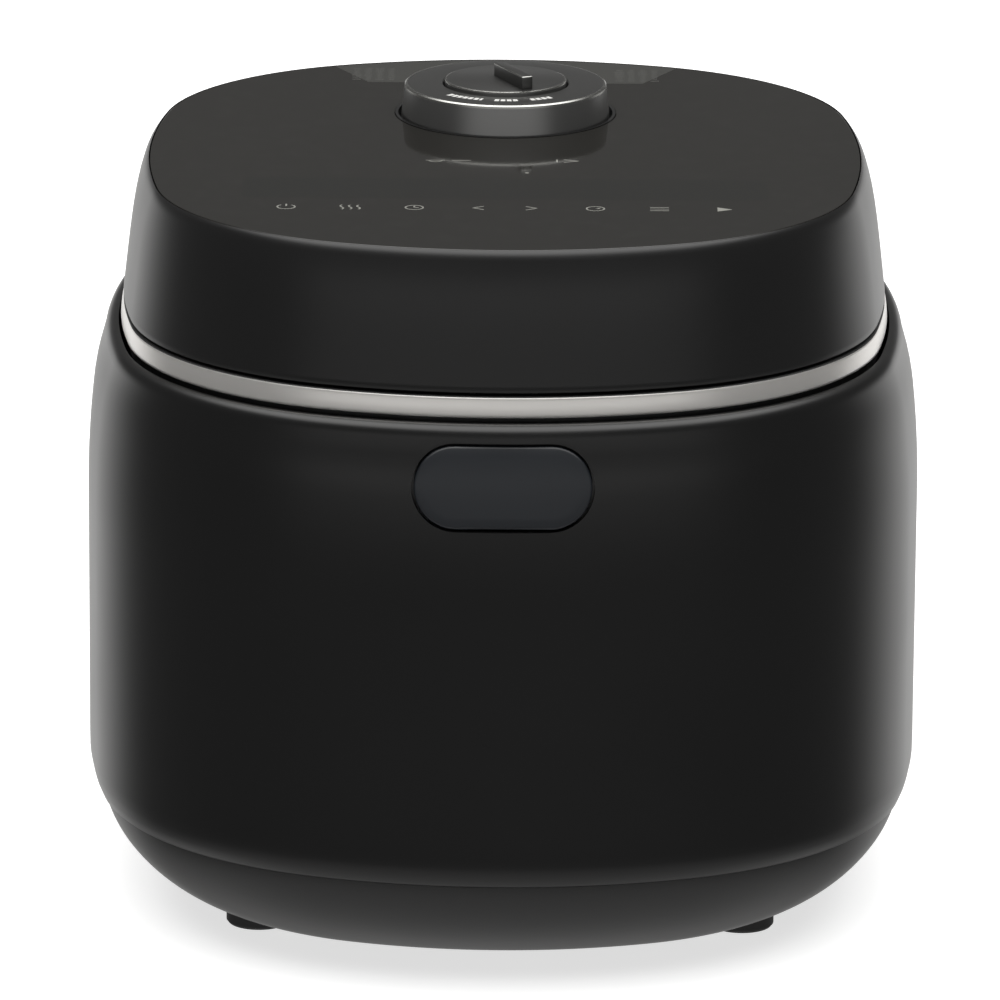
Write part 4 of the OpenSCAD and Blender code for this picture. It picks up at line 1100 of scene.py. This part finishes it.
    def _note_bands(self) -> None:
        """The paler band along the back edge and the fine dashes on it."""
        half_far, half_near, near = 66 * MM, 52 * MM, 106 * MM
        inset = self.outline.half_w - high("top_panel").x + 1.2 * MM
        edge = [(x, y) for x, y, _ in self.outline.ring(inset, 0.0) if y > near and abs(x) < half_far]
        self._flat("note_band", [[(half_near, near), *edge, (-half_near, near)]], NOTE_BAND, 0.01 * MM)
        for side, name in ((-1, "left"), (1, "right")):
            dash = block("dash", (-1.9 * MM, -0.4 * MM, 0), (1.9 * MM, 0.4 * MM, 0.01 * MM))
            rows = Repeat("note_dashes_" + name, dash, FINE_INK, 4, 6, 4.4 * MM, (0.0, 3.4 * MM, 0.0),
                          (side * 50 * MM, 119 * MM, self.top + self.lift), spread=0.6, seed=5 + side).build()
            self.settle(rows, Body.LID, "panel_gloss")


@dataclass
class Knob:
    """The lock knob, its bevelled edge with a painted highlight, the marks on it and the dial in it."""

    dial_sink: float = 3.9 * MM
    dial_rise: float = 1.6 * MM
    dial_foot: float = 3.6 * MM
    mark_in: float = 27.6 * MM
    mark_out: float = 30.6 * MM
    mark_arcs: tuple[tuple[float, float], ...] = ((-46, -17), (-8, 11), (18.6, 36.5))
    dash: float = 3.4
    dash_gap: float = 1.1
    print_lift: float = 0.02 * MM
    shaft_r: float = 8.05 * MM
    hub_r: float = 12 * MM
    floor_t: float = 3.2 * MM
    grip_half: float = 2.2 * MM
    grip_turn: float = 24.0

    def build(self) -> None:
        """The knob, its marks and the dial."""
        a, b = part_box("lock_knob")
        x, y, r, top = (a.x + b.x) / 2, (a.y + b.y) / 2, (b.x - a.x) / 2, b.z
        d0, d1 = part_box("valve_dial")
        well = (d1.x - d0.x) / 2 + 0.6 * MM
        foot = low("knob_bezel").z + 2.2 * MM
        dial_z = top - self.dial_sink
        skin = [(r - 2.6 * MM, foot), (r, foot), (r - 1.35 * MM, top - 1.3 * MM)]
        edge = [(r - 1.5 * MM, top - 0.55 * MM), (r - 2.0 * MM, top - 0.1 * MM), (r - 2.6 * MM, top)]
        under = dial_z - self.floor_t
        shaft = [(self.shaft_r, a.z), (self.hub_r, a.z), (self.hub_r, under), (r - 4 * MM, under)]
        profile = shaft + skin + edge + [(well + 0.5 * MM, top), (well, top - 0.5 * MM), (well, dial_z),
                                         (self.shaft_r, dial_z)]
        piece = revolve("lock_knob_smooth", profile, x, y, 200, sharp=30)
        KNOB_PAINT.dress(piece)
        piece.data.materials.append(KNOB_EDGE_HIGHLIGHT.material())
        piece.data.materials.append(KNOB_SIDE_SHEEN.material())
        # Faces by the knob's top edge get bright metal as a painted highlight (slot 1); the side below gets
        # the lighter side metal, whose lightness is partly painted sheen (slot 2).
        for face in piece.data.polygons:
            z = face.center.z
            out = math.hypot(face.center.x - x, face.center.y - y)
            if out < r - 3 * MM or z > top - 0.02 * MM:
                continue
            face.material_index = 1 if z > top - 1.25 * MM else 2
        Cover.settle(piece, Body.KNOB, "knob_black", "lock_knob")
        self._marks(x, y, top)
        self._dial(x, y, d0, d1, top)

    def _marks(self, x: float, y: float, top: float) -> None:
        """Three broken arcs printed on the knob's face."""
        verts, faces = [], []
        r0, r1 = self.mark_in, self.mark_out
        z = top + self.print_lift
        for start, end in self.mark_arcs:
            t = start
            while t < end - 1:
                a0, a1 = math.radians(t - 90), math.radians(min(t + self.dash, end) - 90)
                base = len(verts)
                for r, a in ((r0, a0), (r1, a0), (r1, a1), (r0, a1)):
                    verts.append((x + r * math.cos(a), y + r * math.sin(a), z))
                faces.append((base, base + 1, base + 2, base + 3))
                t += self.dash + self.dash_gap
        mesh = bpy.data.meshes.new("knob_marks")
        mesh.from_pydata(verts, [], faces)
        piece = bpy.data.objects.new("knob_marks", mesh)
        bpy.context.scene.collection.objects.link(piece)
        KNOB_INK.dress(piece)
        Cover.settle(piece, Body.KNOB, "knob_black")

    def _dial(self, x: float, y: float, d0: Vector, d1: Vector, knob_top: float) -> None:
        """The valve dial with its upright grip."""
        r = (d1.x - d0.x) / 2
        top = knob_top + self.dial_rise
        foot = knob_top - self.dial_foot
        profile = [(0.0, foot), (r, foot), (r, top - 0.7 * MM), (r - 0.25 * MM, top - 0.2 * MM),
                   (r - 0.8 * MM, top), (0.0, top)]
        disc = revolve("disc", profile, x, y, 160, sharp=30)
        KNOB_PAINT.dress(disc)
        disc.data.materials.append(KNOB_EDGE_HIGHLIGHT.material())
        # Faces along the disc's top edge get bright metal: a painted highlight.
        for face in disc.data.polygons:
            out = math.hypot(face.center.x - x, face.center.y - y)
            if top - 0.6 * MM < face.center.z < top - 0.02 * MM and out > r - 1.2 * MM:
                face.material_index = 1
        stem = revolve("stem", [(6.4 * MM, d0.z), (8 * MM, d0.z), (8 * MM, foot + 0.5 * MM),
                                (6.4 * MM, foot + 0.5 * MM)], x, y, 64)
        KNOB_PAINT.dress(stem)
        piece = join("valve_dial_smooth", [disc, stem, self._grip(x, y, top, d1.z)])
        smooth(piece.data, 30)
        Cover.settle(piece, Body.DIAL, "dial_black", "valve_dial")

    def _grip(self, x: float, y: float, foot: float, top: float) -> bpy.types.Object:
        """The grip: an upright blade from the middle of the dial to its front right."""
        half, turn = self.grip_half, math.radians(self.grip_turn)
        blade = block("grip", (-half, -20 * MM, foot - 0.3 * MM), (half, 6 * MM, top), 0.5 * MM)
        blade.data.transform(Matrix.Translation((x, y, 0)) @ Matrix.Rotation(turn, 4, "Z"))
        KNOB_PAINT.dress(blade)
        blade.data.materials.append(KNOB_EDGE_HIGHLIGHT.material())
        # Faces that slope upwards get bright metal: a painted highlight on the grip's lit edges.
        for face in blade.data.polygons:
            slope = face.normal.z
            if 0.2 < slope < 0.95:
                face.material_index = 1
        return blade


@dataclass
class Button(Cover):
    """The pill-shaped release button in the front wall."""

    wall: Wall | None = None
    rim: tuple[tuple[float, float], ...] = ((0.0, 5.5), (0.0, 0.9), (0.12, 0.55), (0.45, 0.25), (0.9, 0.12))
    face_in: float = 1.8 * MM
    face_sink: float = 0.1 * MM
    stem_start: float = 6 * MM
    stem_drop: float = 5 * MM
    stem_r: float = 4.0 * MM
    tip_r: float = 1.2 * MM
    tip_h: float = 3.3 * MM

    def build(self) -> bpy.types.Object:
        """The button's face, domed with the wall, and its stem."""
        a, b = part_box("release_button")
        width, height, z = b.x - a.x, b.z - a.z, (a.z + b.z) / 2
        front = self.outline.centre_y - self.outline.half_d
        rings = []
        for shrink, sink in self.rim:
            flat = pill_ring(width - 2 * shrink * MM, height - 2 * shrink * MM, 0.0, z, 72)
            flat[:, 1] = [self._wall_y(px, pz) + sink * MM for px, _, pz in flat]
            rings.append(flat)
        for share in (0.75, 0.5, 0.25, 0.0):
            flat = pill_ring(width - self.face_in, height - self.face_in, 0.0, z, 72)
            line = np.clip(flat[:, 0], -(width - height) / 2, (width - height) / 2)
            flat[:, 0] = line + (flat[:, 0] - line) * share
            flat[:, 2] = z + (flat[:, 2] - z) * share
            flat[:, 1] = [self._wall_y(px, pz) + self.face_sink for px, _, pz in flat]
            rings.append(flat)
        verts = np.concatenate(rings)
        n = len(rings[0])
        faces = []
        for i in range(len(rings) - 1):
            faces += [(i * n + j, i * n + (j + 1) % n, (i + 1) * n + (j + 1) % n, (i + 1) * n + j)
                      for j in range(n)]
        faces.append(tuple(range(n)))
        face_piece = make_object("button_face", verts, faces, 30)
        stem = self._stem(front + self.stem_start, b.y, z - self.stem_drop)
        piece = join("release_pill", [face_piece, stem])
        smooth(piece.data, 30)
        BUTTON_PAINT.dress(piece)
        self.settle(piece, Body.BUTTON, "button_dark", "release_button")
        return piece

    def _stem(self, y0: float, y1: float, z: float) -> bpy.types.Object:
        """The stem that pushes the latch, with its narrow tip."""
        rings = []
        shoulder = y1 - self.tip_h
        for y, r in ((y0, self.stem_r), (shoulder, self.stem_r), (shoulder, self.tip_r), (y1, self.tip_r)):
            t = np.linspace(0, 2 * math.pi, 32, endpoint=False)
            rings.append(np.column_stack([r * np.cos(t), np.full(len(t), y), z + r * np.sin(t)]))
        return loft("stem", rings, closed=False)

    def _wall_y(self, x: float, z: float) -> float:
        """Where the wall's face is, front to back, at a point of the button."""
        inset = self.wall.inset(z)
        r = self.outline.half_w + self.outline.front_extra - inset
        cy = -(self.outline.half_d - self.outline.half_w - self.outline.front_extra)
        return cy - math.sqrt(max(r * r - x * x, 0.0)) + self.outline.centre_y


@dataclass
class Rear(Cover):
    """The dew collector, at the back."""

    wall_t: float = 2 * MM

    def build(self) -> None:
        """The collector with its finger ribs."""
        a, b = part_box("dew_collector")
        cup = block("collector_body", a, b, 1.6 * MM, 4)
        t = self.wall_t
        cut(cup, [block("hollow", (a.x + t, a.y + t, a.z + t), (b.x - t, b.y - t, b.z + 0.01), 0.8 * MM)])
        SMOKED.dress(cup)
        rib = block("rib", (-14 * MM, -0.7 * MM, -0.8 * MM), (14 * MM, 0.3 * MM, 0.8 * MM), 0.3 * MM, 2)
        ribs = Repeat("collector_ribs", rib, SMOKED, 1, 5, 0.01, (0.0, 0.0, 3.4 * MM),
                      (0.0, b.y + 0.3 * MM, (a.z + b.z) / 2)).build()
        piece = join("collector_cup", [cup, ribs])
        smooth(piece.data, 35)
        self.settle(piece, Body.COLLECTOR, "collector_grey", "dew_collector")


@dataclass
class Fasteners:
    """Cross-recess screw heads on the underside."""

    head_r: float = 3.4 * MM
    head_h: float = 2.2 * MM

    def build(self) -> None:
        """Four heads over the base screws."""
        a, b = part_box("base_screws")
        head = revolve("head", [(0.0, self.head_h), (self.head_r, self.head_h), (self.head_r, 0.5 * MM),
                                (self.head_r - 0.6 * MM, 0.0), (0.0, 0.0)], 0.0, 0.0, 32)
        arm, wide = 2.0 * MM, 0.35 * MM
        cut(head, [block("slot_a", (-arm, -wide, -MM), (arm, wide, 1.2 * MM)),
                   block("slot_b", (-wide, -arm, -MM), (wide, arm, 1.2 * MM))])
        span_x, span_y = b.x - a.x - 2 * self.head_r, b.y - a.y - 2 * self.head_r
        heads = Repeat("screw_heads", head, ZINC, 2, 2, span_x, (0.0, span_y, 0.0),
                       ((a.x + b.x) / 2, (a.y + b.y) / 2, a.z - 0.4 * MM)).build()
        Cover.settle(heads, Body.HOUSING, "screw_steel")


# --- the studio -------------------------------------------------------------------------------


@dataclass(frozen=True)
class SoftZone:
    """A bright part of the surroundings, by compass direction and height.

    Args:
        azimuth: direction of its middle in degrees, 0 for +X and 90 for +Y.
        spread: half its width in degrees, and the width of its fading edge.
        rise: sine of the height at which it starts, is full, is still full, and ends.
        strength: how bright it is.
    """

    azimuth: float
    spread: tuple[float, float]
    rise: tuple[float, float, float, float]
    strength: float


@dataclass
class Studio:
    """Floor, surroundings and camera."""

    zones: tuple[SoftZone, ...] = (
        SoftZone(86.0, (32.0, 68.0), (-0.62, -0.36, -0.06, 0.1), 0.85),
        SoftZone(-90.0, (180.0, 181.0), (-1.2, -1.1, -0.8, -0.45), 0.42),
        SoftZone(-90.0, (24.0, 60.0), (-0.12, 0.0, 0.12, 0.3), 0.55),
        SoftZone(90.0, (180.0, 181.0), (0.62, 0.86, 1.1, 1.2), 3.4),
    )
    ambient: float = 0.12
    pale: float = 0.93
    floor_r: float = 9.0
    distance: float = 3429.4 * MM
    elevation: float = 15.809
    roll: float = 0.386
    aim: tuple[float, float, float] = (-1.04 * MM, -3.5 * MM, 138.5 * MM)
    lens: float = 332.1

    def build(self) -> None:
        """Everything that isn't part of the object."""
        self._floor()
        self._surroundings()
        self._camera()

    def _floor(self) -> None:
        """A wide pale floor, left out of mirror reflections so that dark covers stay dark."""
        piece = revolve("floor", [(0.0, -0.02), (self.floor_r, -0.02), (self.floor_r, 0.0), (0.0, 0.0)],
                        0.0, 0.0, 96)
        Finish("floor_pale", (0.55, 0.55, 0.55), 0.9, grain=0.0, spread=0.0, glow=1.25).dress(piece)
        piece.visible_glossy = False

    def _surroundings(self) -> None:
        """A plain soft studio as the world, pale where it is seen directly."""
        world = bpy.data.worlds.new("studio")
        bpy.context.scene.world = world
        world.use_nodes = True
        world.node_tree.nodes.clear()
        w = Wiring(world.node_tree)
        way = w.node("ShaderNodeTexCoord").outputs["Generated"]
        unit = w.node("ShaderNodeVectorMath", {0: way}, operation="NORMALIZE").outputs[0]
        part = w.node("ShaderNodeSeparateXYZ", {0: unit}).outputs
        flat = w.math("SQRT", w.math("ADD", w.math("MULTIPLY", part["X"], part["X"]),
                                     w.math("MULTIPLY", part["Y"], part["Y"])))
        total = self.ambient
        for zone in self.zones:
            total = w.math("ADD", total, self._zone(w, zone, part, flat))
        seen = w.node("ShaderNodeLightPath").outputs["Is Camera Ray"]
        studio = w.node("ShaderNodeBackground", {"Strength": total, "Color": (1.0, 0.995, 0.985, 1.0)})
        plain = w.node("ShaderNodeBackground", {"Strength": 1.0, "Color": (self.pale,) * 3 + (1.0,)})
        mixed = w.node("ShaderNodeMixShader", {0: seen, 1: studio.outputs[0], 2: plain.outputs[0]})
        w.node("ShaderNodeOutputWorld", {"Surface": mixed.outputs[0]})

    @staticmethod
    def _zone(w: Wiring, zone: SoftZone, part, flat) -> bpy.types.NodeSocket:
        """The brightness that one zone adds."""
        a = math.radians(zone.azimuth)
        along = w.math("ADD", w.math("MULTIPLY", part["X"], math.cos(a)),
                       w.math("MULTIPLY", part["Y"], math.sin(a)))
        facing = w.math("DIVIDE", along, w.math("ADD", flat, 1e-4))
        full, gone = zone.spread
        if full >= 180.0:
            across = 1.0
        else:
            across = w.ramp(facing, math.cos(math.radians(gone)), math.cos(math.radians(full)))
        start, on, still, end = zone.rise
        upward = w.math("MULTIPLY", w.ramp(part["Z"], start, on), w.ramp(part["Z"], still, end, 1.0, 0.0))
        return w.math("MULTIPLY", w.math("MULTIPLY", across, upward), zone.strength)

    def _camera(self) -> None:
        """The camera, at the angle from which the object is usually shown."""
        data = bpy.data.cameras.new("camera")
        data.lens, data.sensor_width, data.clip_end = self.lens, 36.0, 100.0
        camera = bpy.data.objects.new("camera", data)
        bpy.context.scene.collection.objects.link(camera)
        down = math.radians(self.elevation)
        x, y, z = self.aim
        place = Vector((x, y - self.distance * math.cos(down), z + self.distance * math.sin(down)))
        turn = Matrix.Rotation(math.pi / 2 - down, 4, "X") @ Matrix.Rotation(math.radians(self.roll), 4, "Z")
        camera.matrix_world = Matrix.Translation(place) @ turn
        bpy.context.scene.camera = camera
        bpy.context.scene.view_settings.view_transform = "Standard"


def main() -> None:
    """Builds the studio and the object's looks, in order."""
    logging.basicConfig(level=logging.INFO, format="%(name)s: %(message)s")
    outline = Outline.from_frame()
    Studio().build()
    for node, finish in NODE_FINISH.items():
        finish.dress_node(node)
    wall = Wall(outline)
    wall.build()
    Skirt(outline).build()
    BrightRing(outline).build()
    Lid(outline).build()
    TouchPanel(outline).build()
    Knob().build()
    Button(outline, wall=wall).build()
    Rear(outline).build()
    Fasteners().build()


if __name__ == "__main__":
    main()
